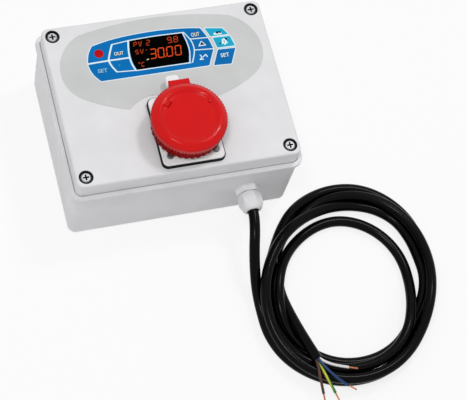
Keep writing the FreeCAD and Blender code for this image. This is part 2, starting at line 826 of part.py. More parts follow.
def make_control_board():
    """Circuit board on the lid's posts, with its four screws."""
    blank = centred_block("board_blank", "board_width", "board_height", "board_thick", "0", "panel_y",
                          "board_low")
    holes = at_corners(
        lambda n, x, y: cylinder(f"board_hole_{n}", "board_screw_radius + thread_clear", "board_thick + 2",
                                 x, y,
                                 "board_low - 1"), "post_x", "post_y", y="panel_y")
    node("control_board", cut("control_board", blank, *holes))

    def screw(n, x, y):
        head = cylinder(f"board_screw_head_{n}", "board_screw_head", "board_screw_head_height", x, y,
                        "board_low - board_screw_head_height")
        shank = cylinder(f"board_screw_shank_{n}", "board_screw_radius", "board_screw_length", x, y,
                         "board_low")
        return fuse(f"board_screw_{n}", head, shank)

    return node("board_screws", group("board_screws", at_corners(screw, "post_x", "post_y", y="panel_y")))


def make_keys():
    """Push switches on the board, their plungers under the film, and the indicator lamps."""
    well_floor = "switch_top - switch_well"
    bodies = []
    for name, (x, offset) in KEYS.items():
        y = f"panel_y + ({offset})"
        shell = centred_block(f"switch_{name}", "switch_side", "switch_side", "switch_height", x, y,
                              "board_top")
        well = cylinder(f"switch_well_{name}", "stem_radius + stem_gap", "switch_well + 1", x, y, well_floor)
        bodies.append(cut(f"switch_body_{name}", shell, well))
    node("switch_bodies", group("switch_bodies", bodies))
    low = f"{well_floor} + stem_travel + stem_gap"
    for name, (x, offset) in KEYS.items():
        stem = cylinder(f"key_stem_{name}", "stem_radius", f"box_depth - stem_gap - ({low})", x,
                        f"panel_y + ({offset})", low)
        node(f"key_stem_{name}", stem)
    lamps = [cylinder(f"lamp_{name}", "lamp_radius", "board_drop + lid_plate - lamp_gap", x,
                      f"panel_y + ({offset})", "board_top") for name, (x, offset) in LAMPS.items()]
    return node("indicator_leds", group("indicator_leds", lamps))


def make_board_parts():
    """Transformer, relay and terminal row that hang under the board."""
    parts = {"board_transformer": "transformer", "board_relay": "relay", "board_terminals": "plug_row"}
    for name, size in parts.items():
        node(name, centred_block(name, f"{size}_width", f"{size}_depth", f"{size}_height", f"{size}_x",
                                 "panel_y",
                                 f"board_low - {size}_height"))


def make_rail():
    """Hat-shaped rail on two posts, with its screws."""
    web = "(rail_crown_width / 2)"
    inner = "(rail_crown_width / 2 - rail_thick)"
    right = [
        (web, "rail_seat"), (web, "rail_top - rail_thick"), ("rail_width / 2", "rail_top - rail_thick"),
        ("rail_width / 2", "rail_top"), (inner, "rail_top"), (inner, "rail_seat + rail_thick"),
    ]
    profile = [(f"rail_y + {y}", z) for y, z in right] + [(f"rail_y - {y}", z) for y, z in reversed(right)]
    strip = extruded("rail_strip", "YZ_Plane", profile, "-rail_length / 2", "rail_length")
    holes = at_ends(
        lambda n, x: cylinder(f"rail_hole_{n}", "rail_screw_radius + thread_clear", "rail_thick + 2", x,
                              "rail_y",
                              "rail_seat - 1"), "rail_post_x")
    node("din_rail", cut("din_rail", strip, *holes))

    def screw(n, x):
        seat = "rail_seat + rail_thick"
        head = cylinder(f"rail_screw_head_{n}", "rail_screw_head", "rail_screw_head_height", x, "rail_y",
                        seat)
        shank = cylinder(f"rail_screw_shank_{n}", "rail_screw_radius", "rail_screw_length", x, "rail_y",
                         f"{seat} - rail_screw_length")
        return fuse(f"rail_screw_{n}", head, shank)

    return node("rail_screws", group("rail_screws", at_ends(screw, "rail_post_x")))


def make_contactor():
    """Contactor on the rail, with a step for the terminals along both long edges."""
    half = "contactor_depth / 2"
    high = "rail_top + contactor_height"
    right = [
        (half, "rail_top"), (half, f"{high} - contactor_step"),
        (f"({half} - contactor_step_depth)", f"{high} - contactor_step"),
        (f"({half} - contactor_step_depth)", high),
    ]
    profile = [(f"rail_y + {y}", z) for y, z in right] + [(f"rail_y - {y}", z) for y, z in reversed(right)]
    return node("contactor", extruded("contactor", "YZ_Plane", profile, "contactor_x - contactor_width / 2",
                                      "contactor_width"))


def make_terminal_block():
    """Supply terminals on the rail, with sloped shoulders."""
    half = "terminal_depth / 2"
    high = "rail_top + terminal_height"
    right = [(half, "rail_top"), (half, f"{high} - terminal_slope"), (f"({half} - terminal_slope)", high)]
    profile = [(f"rail_y + {y}", z) for y, z in right] + [(f"rail_y - {y}", z) for y, z in reversed(right)]
    return node("terminal_block", extruded("terminal_block", "YZ_Plane", profile,
                                           "terminal_x - terminal_width / 2",
                                           "terminal_width"))


def make_socket_gasket():
    """Black gasket between the socket's flange and the lid."""
    blank = rounded_prism("gasket_blank", "flange_width + 2 * gasket_proud",
                          "flange_height + 2 * gasket_proud",
                          "flange_corner + gasket_proud", "box_depth", "flange_low", "socket_x", "socket_y")
    bore = cylinder("gasket_bore", "collar_radius + can_fit", "gasket_thick + 2", "socket_x", "socket_y",
                    "box_depth - 1")
    holes = at_corners(
        lambda n, x, y: cylinder(f"gasket_hole_{n}", "flange_screw_radius + screw_clear",
                                 "gasket_thick + 2", x, y,
                                 "box_depth - 1"), "flange_screw_x", "flange_screw_y", "socket_x", "socket_y")
    return node("socket_gasket", cut("socket_gasket", blank, bore, *holes))


def lug(name, inner, outer, low, high, facing):
    """Make a bayonet lug: a piece of a ring round the socket's axis, centred on an angle from +X."""
    pie = doc.addObject("Part::Cylinder", f"{name}_pie")
    pie.Placement = FreeCAD.Placement(Vector(), Rotation(Vector(0, 0, 1), value(f"{facing} - lug_angle / 2")))
    bind(pie, Radius=outer, Height=f"({high}) - ({low})", Angle="lug_angle", x="socket_x", y="socket_y",
         z=f"box_depth + {low}")
    core = cylinder(f"{name}_core", inner, f"({high}) - ({low}) + 2", "socket_x", "socket_y",
                    f"box_depth + {low} - 1")
    return cut(name, pie, core)


def make_socket_housing():
    """Flange with its raised middle, the hinge lug behind it and the pad that stops the open cap."""
    flange = rounded_prism("flange_plate", "flange_width", "flange_height", "flange_corner", "flange_low",
                           "flange_low + flange_thick", "socket_x", "socket_y")
    flange = soften("flange_soft", flange, "rim_edge_round", at_height("flange_low + flange_thick"))
    plateau = rounded_prism("plateau", "flange_width - 2 * plateau_inset",
                            "flange_height - 2 * plateau_inset",
                            "flange_corner - plateau_inset / 2", "flange_low", "plateau_top", "socket_x",
                            "socket_y")
    hub = cylinder("flange_bore", "collar_radius + sleeve_fit", "flange_thick + plateau_thick + 2",
                   "socket_x", "socket_y", "flange_low - 1")
    plate = cut("flange_ring", fuse("flange_steps", flange, plateau), hub)
    root = "(socket_y + flange_height / 2 - plateau_inset - tongue_corner)"
    tip = "(hinge_y + tongue_reach)"
    tongue = rounded_prism("tongue", "tongue_width", f"{tip} - {root}", "tongue_corner",
                           "box_depth + tongue_low",
                           "box_depth + tongue_high", "socket_x - tongue_shift", f"({tip} + {root}) / 2")
    stop_root = "(hinge_y + stop_start)"
    stop = rounded_prism("open_stop", "tongue_width", f"{tip} - {stop_root}", "tongue_corner",
                         "box_depth + tongue_low", "box_depth + stop_high", "socket_x - tongue_shift",
                         f"({tip} + {stop_root}) / 2")
    stop = soften("open_stop_soft", stop, "rim_edge_round", at_height("box_depth + stop_high"))
    side = "socket_x - hinge_width / 2"
    barrel = cylinder("knuckle_barrel", "hinge_radius", "hinge_width", side, "hinge_y", "hinge_z", ALONG_X)
    web = centred_block("knuckle_web", "hinge_width", "2 * hinge_radius - 2 * web_inset",
                        "hinge_z - box_depth - tongue_low", "socket_x", "hinge_y", "box_depth + tongue_low")
    solid = fuse("socket_solid", plate, tongue, stop, barrel, web)
    pin_bore = cylinder("pin_bore", "pin_radius + pin_fit", "hinge_width + 2", f"{side} - 1", "hinge_y",
                        "hinge_z",
                        ALONG_X)
    holes = at_corners(
        lambda n, x, y: cylinder(f"flange_hole_{n}", "flange_screw_radius + screw_clear",
                                 "flange_thick + plateau_thick + 2", x, y, "flange_low - 1"),
        "flange_screw_x", "flange_screw_y", "socket_x", "socket_y")
    return node("socket_housing", cut("socket_housing", solid, pin_bore, *holes))


def make_socket_sleeve():
    """Sleeve round the insert, held in the flange by a shoulder and a bead, with two bayonet lugs."""
    ridge = "collar_radius + shoulder_reach"
    under = "flange_low - box_depth"
    over = "plateau_top - box_depth"
    low = f"{under} - shoulder_height"
    profile = [
        ("collar_bore", "collar_floor"), ("collar_radius", "collar_floor"), ("collar_radius", low),
        (ridge, low), (ridge, under), ("collar_radius", under), ("collar_radius", over), (ridge, over),
        (ridge, f"{over} + bead_height / 2"), ("collar_radius", f"{over} + bead_height"),
        ("collar_radius", "collar_height"), ("collar_bore", "collar_height"),
    ]
    collar = turned("collar", profile, "socket_x", "socket_y", "box_depth")
    lugs = [
        lug(f"collar_lug_{n}", "collar_radius - collar_wall / 2", "collar_radius + lug_reach", "lug_low",
            "lug_high", f"{facing} - lock_turn")
        for n, facing in enumerate((0, 180), start=1)
    ]
    return node("socket_sleeve", fuse("socket_sleeve", collar, *lugs))


def make_socket_can():
    """Rear can that closes the sleeve and carries the insert's neck."""
    neck = "insert_neck_radius + insert_neck_fit"
    profile = [
        (neck, "collar_floor"), ("collar_radius", "collar_floor"), ("collar_radius", "-can_depth"),
        ("collar_bore", "-can_depth"), ("collar_bore", "collar_floor - can_floor"),
        (neck, "collar_floor - can_floor"),
    ]
    return node("socket_can", turned("socket_can", profile, "socket_x", "socket_y", "box_depth"))


def make_socket_insert():
    """Insert that carries the contacts, and the contact tubes in it."""
    top = "(collar_height - insert_recess)"
    tail = "collar_floor - can_floor - insert_tail"
    profile = [
        ("0", tail), ("insert_neck_radius", tail), ("insert_neck_radius", "collar_floor"),
        ("insert_radius", "collar_floor"), ("insert_radius", top), ("0", top),
    ]
    blank = turned("insert_blank", profile, "socket_x", "socket_y", "box_depth")
    low = f"box_depth + {top} - contact_depth"
    holes = []
    tubes = []
    for n in range(int(value("contact_count"))):
        angle = f"{n} * 360 / contact_count"
        x = f"socket_x + contact_circle * sin({angle})"
        y = f"socket_y - contact_circle * cos({angle})"
        holes.append(cylinder(f"contact_hole_{n}", "contact_radius", "contact_depth + 1", x, y, low))
        sleeve = cylinder(f"contact_sleeve_{n}", "contact_radius - thread_clear",
                          "contact_depth - contact_sink", x, y,
                          low)
        bore = cylinder(f"contact_bore_{n}", "contact_radius - contact_wall", "contact_depth", x, y,
                        f"{low} + contact_sink")
        tubes.append(cut(f"contact_tube_{n}", sleeve, bore))
    node("socket_insert", cut("socket_insert", blank, *holes))
    return node("socket_contacts", group("socket_contacts", tubes))


def make_socket_screws():
    """Four screws that hold the flange to the lid."""
    def screw(n, x, y):
        head = cylinder(f"flange_screw_head_{n}", "flange_screw_head", "flange_screw_head_height", x, y,
                        "plateau_top")
        head = soften(f"flange_screw_soft_{n}", head, "flange_screw_head_height / 3",
                      at_height("plateau_top + flange_screw_head_height"))
        shank = cylinder(f"flange_screw_shank_{n}", "flange_screw_radius", "flange_screw_length", x, y,
                         "plateau_top - flange_screw_length")
        return fuse(f"flange_screw_{n}", head, shank)

    screws = at_corners(screw, "flange_screw_x", "flange_screw_y", "socket_x", "socket_y")
    return node("socket_screws", group("socket_screws", screws))


def make_hinge_pin():
    """Pin through the knuckle and both ears of the cap."""
    return node("hinge_pin", cylinder("hinge_pin", "pin_radius", "2 * (ear_start + ear_width)",
                                      "socket_x - ear_start - ear_width", "hinge_y", "hinge_z", ALONG_X))


def ring_of(name, count, radius, distance, low, high):
    """Place upright cutters evenly round the socket's axis."""
    step = "360 / " + count
    return [
        cylinder(f"{name}_{n}", radius, f"({high}) - ({low})", f"socket_x + ({distance}) * cos({n} * {step})",
                 f"socket_y + ({distance}) * sin({n} * {step})", f"box_depth + {low}")
        for n in range(int(value(count)))
    ]


def round_edge(radius, height):
    """Pick the circle of a radius round the socket's axis at a height over the lid."""
    across = 2 * value(radius)
    level = at_height(f"box_depth + {height}")
    return lambda edge: level(edge) and abs(edge.BoundBox.XLength - across) < 0.05


def make_socket_cap():
    """Hinged cap: dished top, toothed rim, inner skirt with snap rib, hinge tab and ears."""
    profile = [
        ("0", "cap_under"), ("skirt_inner", "cap_under"), ("skirt_inner", "skirt_low"), ("rib_outer",
                                                                                         "skirt_low"),
        ("rib_outer", "rib_top"), ("skirt_outer", "rib_top"), ("skirt_outer", "cap_low"),
        ("cap_edge", "cap_low"), ("cap_edge", "cap_top - cap_brow_drop"), ("cap_brow", "cap_top"),
        ("dish_radius", "cap_top"), ("dish_radius - dish_slope", "cap_top - dish_depth"),
        ("0", "cap_top - dish_depth"),
    ]
    dish = turned("cap_dish", profile, "socket_x", "socket_y", "box_depth")
    dish = soften("cap_brow_soft", dish, "cap_brow_round", round_edge("cap_brow", "cap_top"))
    dish = soften("cap_dish_soft", dish, "dish_round", round_edge("dish_radius", "cap_top"))
    dish = soften("cap_floor_soft", dish, "dish_round",
                  round_edge("dish_radius - dish_slope", "cap_top - dish_depth"))
    teeth = ring_of("cap_tooth", "cap_tooth_count", "cap_tooth_radius",
                    "cap_edge + cap_tooth_radius - cap_tooth_depth", "cap_low - 1", "cap_top")
    dish = cut("cap_toothed", dish, *teeth)
    rim_y = "(socket_y + cap_radius)"
    tab = block("cap_tab", "tab_width", f"hinge_y + tab_overhang - {rim_y} + tab_root", "tab_thick",
                "socket_x - tab_width / 2", f"{rim_y} - tab_root", "box_depth + cap_low")
    tab = soften("cap_tab_soft", tab, "rim_edge_round", at_height("box_depth + cap_low + tab_thick"))
    ears = []
    for n, start in enumerate(("socket_x + ear_start", "socket_x - ear_start - ear_width"), start=1):
        ears.append(cylinder(f"ear_barrel_{n}", "ear_radius", "ear_width", start, "hinge_y", "hinge_z",
                             ALONG_X))
        ears.append(block(f"ear_web_{n}", "ear_width", "2 * ear_radius - 2 * web_inset",
                          "hinge_drop + tab_thick / 2", start, "hinge_y - ear_radius + web_inset", "hinge_z"))
    reach = "(ear_start + ear_width + 1)"
    bore = cylinder("ear_bore", "pin_radius + pin_clear", f"2 * {reach}", f"socket_x - {reach}", "hinge_y",
                    "hinge_z",
                    ALONG_X)
    return node("socket_cap", cut("socket_cap", fuse("cap_solid", dish, tab, *ears), bore))


def make_cap_seal():
    """Rubber ring under the cap that closes on the collar's rim."""
    inner = "collar_bore - cap_seal_inside"
    outer = "collar_radius + cap_seal_outside"
    low = "collar_height + cap_seal_gap"
    profile = [(inner, low), (outer, low), (outer, "cap_under"), (inner, "cap_under")]
    return node("cap_seal", turned("cap_seal", profile, "socket_x", "socket_y", "box_depth"))


def make_bayonet_ring():
    """Grooved ring, captive on the cap's skirt, with two lugs that turn under the collar's lugs."""
    neck = "skirt_outer + ring_play"
    profile = [
        ("ring_inner", "ring_low"), ("cap_radius", "ring_low"), ("cap_radius", "ring_top"), (neck,
                                                                                             "ring_top"),
        (neck, "ring_shelf"), ("ring_inner", "ring_shelf"),
    ]
    band = turned("ring_band", profile, "socket_x", "socket_y", "box_depth")
    lugs = [
        lug(f"ring_lug_{n}", "collar_radius + lug_clear", "ring_inner + ring_wall / 2", "ring_lug_low",
            "ring_lug_high", facing)
        for n, facing in enumerate((0, 180), start=1)
    ]
    grooves = ring_of("ring_groove", "ring_groove_count", "ring_groove_radius",
                      "cap_radius + ring_groove_radius - ring_groove_depth", "ring_low - 1", "ring_shelf")
    return node("bayonet_ring", cut("bayonet_ring", fuse("ring_solid", band, *lugs), *grooves))


def along_gland(distance):
    """Give the place of a gland piece that starts at a distance from the box's middle."""
    return {"x": "gland_x", "y": f"-({distance})", "z": "gland_z", "turn": ALONG_MINUS_Y}


def make_gland_washer():
    """Flat washer between the gland's body and the wall."""
    ring = cylinder("washer_ring", "gland_pad_radius", "gland_washer_thick", **along_gland("gland_face"))
    hole = cylinder("washer_hole", "gland_hole_radius", "gland_washer_thick + 2",
                    **along_gland("gland_face - 1"))
    return node("gland_washer", cut("gland_washer", ring, hole))


def make_gland_body():
    """Hexagonal body with a thread through the wall and one for the dome nut, and its locknut."""
    inside = "gland_back - gland_thread_inside"
    flats = hexagon("gland_flats", "gland_hex", "gland_hex_length", **along_gland("washer_end"))
    thread = cylinder("gland_thread", "gland_thread_radius", f"washer_end - ({inside}) + 1",
                      **along_gland(inside))
    front = cylinder("gland_front", "gland_front_radius", "gland_front_length + 1",
                     **along_gland("hex_end - 1"))
    bore = cylinder("gland_bore", "cord_radius + gland_bore_clear", f"front_end - ({inside}) + 2",
                    **along_gland(f"{inside} - 1"))
    node("gland_body", cut("gland_body", fuse("gland_solid", flats, thread, front), bore))
    start = "gland_back - locknut_length"
    flats = hexagon("locknut_flats", "locknut_hex", "locknut_length", **along_gland(start))
    hole = cylinder("locknut_hole", "gland_thread_radius + thread_clear", "locknut_length + 2",
                    **along_gland(f"{start} - 1"))
    return node("gland_locknut", cut("gland_locknut", flats, hole))


def make_gland_nut():
    """Dome nut and the seal that it presses on the cord."""
    bore = "cord_radius - seal_grip"
    length = "nut_mouth - front_end"
    profile = [(bore, "0"), ("gland_front_radius", "0"), ("gland_front_radius", length), (bore, length)]
    node("gland_seal", turned("gland_seal", profile, **along_gland("front_end")))
    flat = "nut_hex / 2"
    corner = "nut_hex / sqrt(3)"
    profile = [
        ("0", "0"), (flat, "0"), (corner, "nut_bevel"), (corner, "nut_length - nut_dome"),
        (f"{flat} * 1.02", "nut_length - nut_dome * 0.6"), (f"{flat} * 0.93", "nut_length - nut_dome * 0.3"),
        (f"{flat} * 0.82", "nut_length - nut_dome * 0.1"), (f"{flat} * 0.7", "nut_length"),
        ("0", "nut_length"),
    ]
    dome = turned("nut_dome", profile, **along_gland("nut_start"))
    place = along_gland("nut_start")
    place["turn"] = ALONG_MINUS_Y.multiply(Rotation(Vector(0, 0, 1), value("nut_turn")))
    flats = hexagon("nut_flats", "nut_hex", "nut_length", **place)
    chamber = cylinder("nut_chamber", "gland_front_radius + nut_fit", "nut_mouth - nut_start + 1",
                       **along_gland("nut_start - 1"))
    mouth = cylinder("nut_opening", "cord_radius + nut_mouth_clear", "nut_length + 2",
                     **along_gland("nut_start - 1"))
    return node("gland_nut", cut("gland_nut", common("nut_shape", flats, dome), chamber, mouth))


def rounded_path(points):
    """Join straight runs by the largest tangent arcs that the runs leave room for."""
    spots = [Vector(*point) for point in points]
    edges = []
    radii = []
    here = spots[0]
    for before, corner, after in zip(spots, spots[1:], spots[2:]):
        back = before - corner
        ahead = after - corner
        turn = math.pi - back.getAngle(ahead)
        tangent = 0.45 * min(back.Length, ahead.Length)
        radii.append(tangent / math.tan(turn / 2))
        back.normalize()
        ahead.normalize()
        start = corner + back * tangent
        end = corner + ahead * tangent
        inward = back + ahead
        inward.normalize()
        middle = corner + inward * radii[-1] * (1 / math.cos(turn / 2) - 1)
        edges.append(Part.LineSegment(here, start).toShape())
        edges.append(Part.Arc(start, middle, end).toShape())
        here = end
    edges.append(Part.LineSegment(here, spots[-1]).toShape())
    return Part.Wire(edges), radii


def tube(name, points, radius):
    """Sweep a round section along a route and report its length and bends."""
    path, radii = rounded_path(points)
    size = value(radius)
    start = Vector(*points[0])
    section = Part.Wire([Part.Circle(start, Vector(*points[1]) - start, size).toShape()])
    solid = path.makePipeShell([section], True, False)
    wanted = math.pi * size ** 2 * path.Length
    bends = [round(radius) for radius in radii]
    print(f"{name}: length {path.Length:.1f}, bend radii {bends}, volume ratio {solid.Volume / wanted:.4f}")
    obj = doc.addObject("Part::Feature", name)
    obj.Shape = solid
    return obj


def make_coil():
    """Outer shape of the loose coil: a low oval ring with rounded edges."""
    rings = []
    for name, extra in (("coil_outer", "0"), ("coil_hole", "1")):
        oval = doc.addObject("Part::Ellipse", f"{name}_oval")
        oval.Placement = FreeCAD.Placement(Vector(), Rotation(Vector(0, 0, 1), value(f"{name}_turn")))
        bind(oval, MajorRadius=f"{name}_y", MinorRadius=f"{name}_x", x="coil_x", y="coil_y", z=f"0 - {extra}")
        solid = doc.addObject("Part::Extrusion", name)
        solid.Base = oval
        solid.DirMode = "Custom"
        solid.Dir = Vector(0, 0, 1)
        solid.Solid = True
        bind(solid, LengthFwd=f"coil_height + 2 * {extra}")
        rings.append(solid)
    ring = cut("coil_ring", *rings)
    levels = at_height("0"), at_height("coil_height")
    coil = soften("cord_coil", ring, "coil_round", lambda edge: any(test(edge) for test in levels))
    return node("cord_coil", coil)


def make_cord():
    """Free stretch of the cord, its coil, its last stretch, the bared cores and their copper ends."""
    entry = (value("gland_x"), -value("nut_mouth"), value("gland_z"))
    node("supply_cord", tube("supply_cord", [entry, *CORD_ROUTE], "cord_radius"))
    make_coil()
    node("cord_end", tube("cord_end", CORD_END_ROUTE, "cord_radius"))
    tips = []
    for name, route in CORE_ROUTES.items():
        node(name, tube(name, route, "core_radius"))
        end = Vector(*route[-1])
        tip = doc.addObject("Part::Cylinder", f"{name}_tip")
        tip.Placement = FreeCAD.Placement(end, Rotation(Vector(0, 0, 1), end - Vector(*route[-2])))
        bind(tip, Radius="tip_radius", Height="tip_length", x=end.x, y=end.y, z=end.z)
        tips.append(tip)
    return node("conductor_tips", group("conductor_tips", tips))


def write_parts():
    """Check every object and sub-part, then write one file for each sub-part."""
    doc.recompute()
    for obj in doc.Objects:
        if "Invalid" in obj.State or "Error" in obj.State:
            raise RuntimeError(f"{obj.Name} failed: {obj.State}")
    for obj in nodes:
        if obj.Shape.isNull() or not obj.Shape.isValid() or not obj.Shape.Solids:
            raise RuntimeError(f"{obj.Label} has no valid solid")
    os.makedirs("parts", exist_ok=True)
    for obj in nodes:
        obj.Shape.exportStep(os.path.join("parts", obj.Label + ".step"))


make_base_box()
make_front_lid()
make_lid_seal()
make_lid_screws()
make_screw_washers()
make_panel_overlay()
make_display()
make_control_board()
make_keys()
make_board_parts()
make_rail()
make_contactor()
make_terminal_block()
make_socket_gasket()
make_socket_housing()
make_socket_sleeve()
make_socket_can()
make_socket_insert()
make_socket_screws()
make_hinge_pin()
make_socket_cap()
make_cap_seal()
make_bayonet_ring()
make_gland_washer()
make_gland_body()
make_gland_nut()
make_cord()
write_parts()
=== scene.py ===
"""Dresses the digital timer: printed panel, lit display, capped socket, gland and coiled supply cord."""

import json
import logging
import math
from dataclasses import dataclass, field
from enum import Enum
from typing import Callable, Iterable, Sequence

import bpy
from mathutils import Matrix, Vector

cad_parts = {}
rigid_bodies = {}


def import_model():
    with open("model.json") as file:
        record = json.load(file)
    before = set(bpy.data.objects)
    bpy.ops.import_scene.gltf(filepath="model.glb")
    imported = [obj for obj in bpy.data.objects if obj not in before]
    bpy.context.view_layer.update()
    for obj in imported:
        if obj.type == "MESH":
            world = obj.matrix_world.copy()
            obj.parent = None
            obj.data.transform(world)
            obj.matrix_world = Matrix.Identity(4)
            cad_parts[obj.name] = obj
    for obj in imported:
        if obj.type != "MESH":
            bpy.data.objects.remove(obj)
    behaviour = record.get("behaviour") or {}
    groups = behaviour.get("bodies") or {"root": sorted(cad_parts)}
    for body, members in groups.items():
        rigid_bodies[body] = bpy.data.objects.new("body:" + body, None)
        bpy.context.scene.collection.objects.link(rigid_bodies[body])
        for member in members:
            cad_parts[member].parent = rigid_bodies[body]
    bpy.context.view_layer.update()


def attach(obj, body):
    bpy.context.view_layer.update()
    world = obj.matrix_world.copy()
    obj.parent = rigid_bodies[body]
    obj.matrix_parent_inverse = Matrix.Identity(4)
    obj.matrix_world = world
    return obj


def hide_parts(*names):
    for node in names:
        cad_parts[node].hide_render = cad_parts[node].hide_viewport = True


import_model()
MM = 0.001
LOG = logging.getLogger("digital_timer")

Flat = tuple[float, float]
Spot = tuple[float, float, float]
Colour = tuple[int, int, int]
Socket = bpy.types.NodeSocket
Inputs = dict[str | int, float | tuple[float, ...] | Socket]


class Body(str, Enum):
    """Bodies of the model that a new piece can ride on."""

    BOX = "enclosure"
    CAP = "cap"


class Grain(Enum):
    """Surface structures that a finish can show."""

    MOULDED = "moulded"
    SPARK = "spark"
    SATIN = "satin"
    TURNED = "turned"


def linear(colour: Colour) -> tuple[float, float, float, float]:
    """Turn a colour as seen on a screen into the numbers that a shader takes.

    Args:
        colour: red, green and blue from 0 to 255.

    Returns:
        The linear colour with full cover.
    """
    parts = [(c / 255 / 12.92) if c <= 10 else ((c / 255 + 0.055) / 1.055) ** 2.4 for c in colour]
    return (parts[0], parts[1], parts[2], 1.0)


def shade(colour: Colour, share: float) -> Colour:
    """Make a screen colour darker or lighter.

    Args:
        colour: the colour.
        share: 1 leaves it as it is, less is darker.

    Returns:
        The changed colour.
    """
    return tuple(min(255, round(part * share)) for part in colour)


WHITE = linear((255, 255, 255))


@dataclass(frozen=True)
class Nodes:
    """Hand tools for the nodes of one material or world.

    Attributes:
        tree: the node tree.
    """

    tree: bpy.types.NodeTree

    def first(self, kind: str) -> bpy.types.Node:
        """Find the node of a kind that Blender put there itself."""
        return next(node for node in self.tree.nodes if node.type == kind)

    def fill(self, node: bpy.types.Node, inputs: Inputs) -> None:
        """Set a node's inputs.

        Args:
            node: the node.
            inputs: for each input, by name or number, its value or the socket that feeds it.
        """
        for key, filling in inputs.items():
            if isinstance(filling, Socket):
                self.tree.links.new(filling, node.inputs[key])
            else:
                node.inputs[key].default_value = filling

    def add(self, kind: str, inputs: Inputs, output: str, **settings: str | int) -> Socket:
        """Add a node.

        Args:
            kind: Blender's name of the node, without ShaderNode in front.
            inputs: for each input, by name or number, its value or the socket that feeds it.
            output: name of the output that is wanted.
            settings: the node's own properties.

        Returns:
            The output.
        """
        made = self.tree.nodes.new(f"ShaderNode{kind}")
        for name, value in settings.items():
            setattr(made, name, value)
        self.fill(made, inputs)
        return made.outputs[output]

    def ramp(self, share: Socket, ends: Flat, colours: tuple[Colour, Colour]) -> Socket:
        """Turn a number into a colour between two.

        Args:
            share: socket with the number.
            ends: the numbers that give the first and the second colour.
            colours: the two screen colours.

        Returns:
            The socket with the colour.
        """
        made = self.tree.nodes.new("ShaderNodeValToRGB")
        for stop, place, colour in zip(made.color_ramp.elements, ends, colours):
            stop.position = place
            stop.color = linear(colour)
        self.fill(made, {"Fac": share})
        return made.outputs["Color"]

    def mix(self, share: Socket, plain: Socket, second: Colour) -> Socket:
        """Lay a second colour over a plain one.

        Args:
            share: socket that is 1 where the second colour shows.
            plain: socket with the plain colour.
            second: the second screen colour.

        Returns:
            The socket with the mixed colour.
        """
        inputs = {"Factor": share, "A": plain, "B": linear(second)}
        return self.add("Mix", inputs, "Result", data_type="RGBA")


@dataclass(frozen=True)
class Finish:
    """One surface finish: its colour, its gloss and the fine structure that it shows up close.

    Attributes:
        name: name of the material.
        colour: screen colour, 0 to 255.
        roughness: mean roughness.
        grain: kind of fine structure.
        pitch: size of the fine structure in mm.
        relief: strength of the fine structure as a bump.
        drift: share by which the colour drifts over the piece.
        metallic: 1 for bare metal.
        rounding: radius in mm that softens sharp edges in the light, 0 for none.
        sheen: strength of the plain surface reflection, 0.5 for ordinary plastic.
    """

    name: str
    colour: Colour
    roughness: float = 0.45
    grain: Grain = Grain.MOULDED
    pitch: float = 0.6
    relief: float = 0.06
    drift: float = 0.05
    metallic: float = 0.0
    rounding: float = 0.0
    sheen: float = 0.3

    GLOSS_SPREAD = 0.07
    LEAST_ROUGHNESS = 0.03
    EDGE_SAMPLES = 6
    TURNED_STRETCH = (1.0, 0.12, 1.0)
    DRIFT_SCALE = 28.0
    DRIFT_DETAIL = 5.0
    DRIFT_ENDS = (0.3, 0.7)

    def material(self) -> bpy.types.Material:
        """Build the node material once and hand it out again later.

        Returns:
            The material.
        """
        label = f"{self.name}_finish"
        known = bpy.data.materials.get(label)
        if known:
            return known
        made = bpy.data.materials.new(label)
        made.use_nodes = True
        nodes = Nodes(made.node_tree)
        place = nodes.add("TexCoord", {}, "Object")
        fine = self._structure(nodes, place)
        gloss = nodes.add("MapRange", {
            "Value": fine,
            "To Min": max(self.LEAST_ROUGHNESS, self.roughness - self.GLOSS_SPREAD),
            "To Max": min(1.0, self.roughness + self.GLOSS_SPREAD),
        }, "Result")
        bump: Inputs = {"Height": fine, "Strength": self.relief, "Distance": self.pitch * MM * 0.5}
        if self.rounding:
            radius = {"Radius": self.rounding * MM}
            bump["Normal"] = nodes.add("Bevel", radius, "Normal", samples=self.EDGE_SAMPLES)
        nodes.fill(nodes.first("BSDF_PRINCIPLED"), {
            "Base Color": self._tint(nodes, place),
            "Metallic": self.metallic,
            "Roughness": gloss,
            "Specular IOR Level": self.sheen,
            "Normal": nodes.add("Bump", bump, "Normal"),
            **self._light(nodes, place),
        })
        return made

    def _structure(self, nodes: Nodes, place: Socket) -> Socket:
        """Add the fine structure.

        Args:
            nodes: nodes of the material.
            place: socket with the place on the piece.

        Returns:
            The socket with the structure's height, 0 to 1.
        """
        scale = 1.0 / (self.pitch * MM)
        if self.grain is Grain.SPARK:
            cells = {"Vector": place, "Scale": scale}
            return nodes.add("TexVoronoi", cells, "Distance", feature="SMOOTH_F1")
        if self.grain is Grain.TURNED:
            place = nodes.add("Mapping", {"Vector": place, "Scale": self.TURNED_STRETCH}, "Vector")
        detail = 2.0 if self.grain is Grain.SATIN else 4.0
        return nodes.add("TexNoise", {"Vector": place, "Scale": scale, "Detail": detail}, "Fac")

    def _tint(self, nodes: Nodes, place: Socket) -> Socket:
        """Let the colour drift slowly over the piece.

        Args:
            nodes: nodes of the material.
            place: socket with the place on the piece.

        Returns:
            The socket with the colour.
        """
        inputs = {"Vector": place, "Scale": self.DRIFT_SCALE, "Detail": self.DRIFT_DETAIL}
        slow = nodes.add("TexNoise", inputs, "Fac")
        colours = (shade(self.colour, 1.0 - self.drift), shade(self.colour, 1.0 + self.drift))
        return nodes.ramp(slow, self.DRIFT_ENDS, colours)

    def _light(self, nodes: Nodes, place: Socket) -> Inputs:
        """Give the shader's inputs for a light of its own, of which a plain finish has none."""
        return {}


@dataclass(frozen=True)
class Ink(Finish):
    """A printed ink on the panel's film."""

    roughness: float = 0.38
    grain: Grain = Grain.SATIN
    pitch: float = 0.25
    relief: float = 0.05
    sheen: float = 0.06


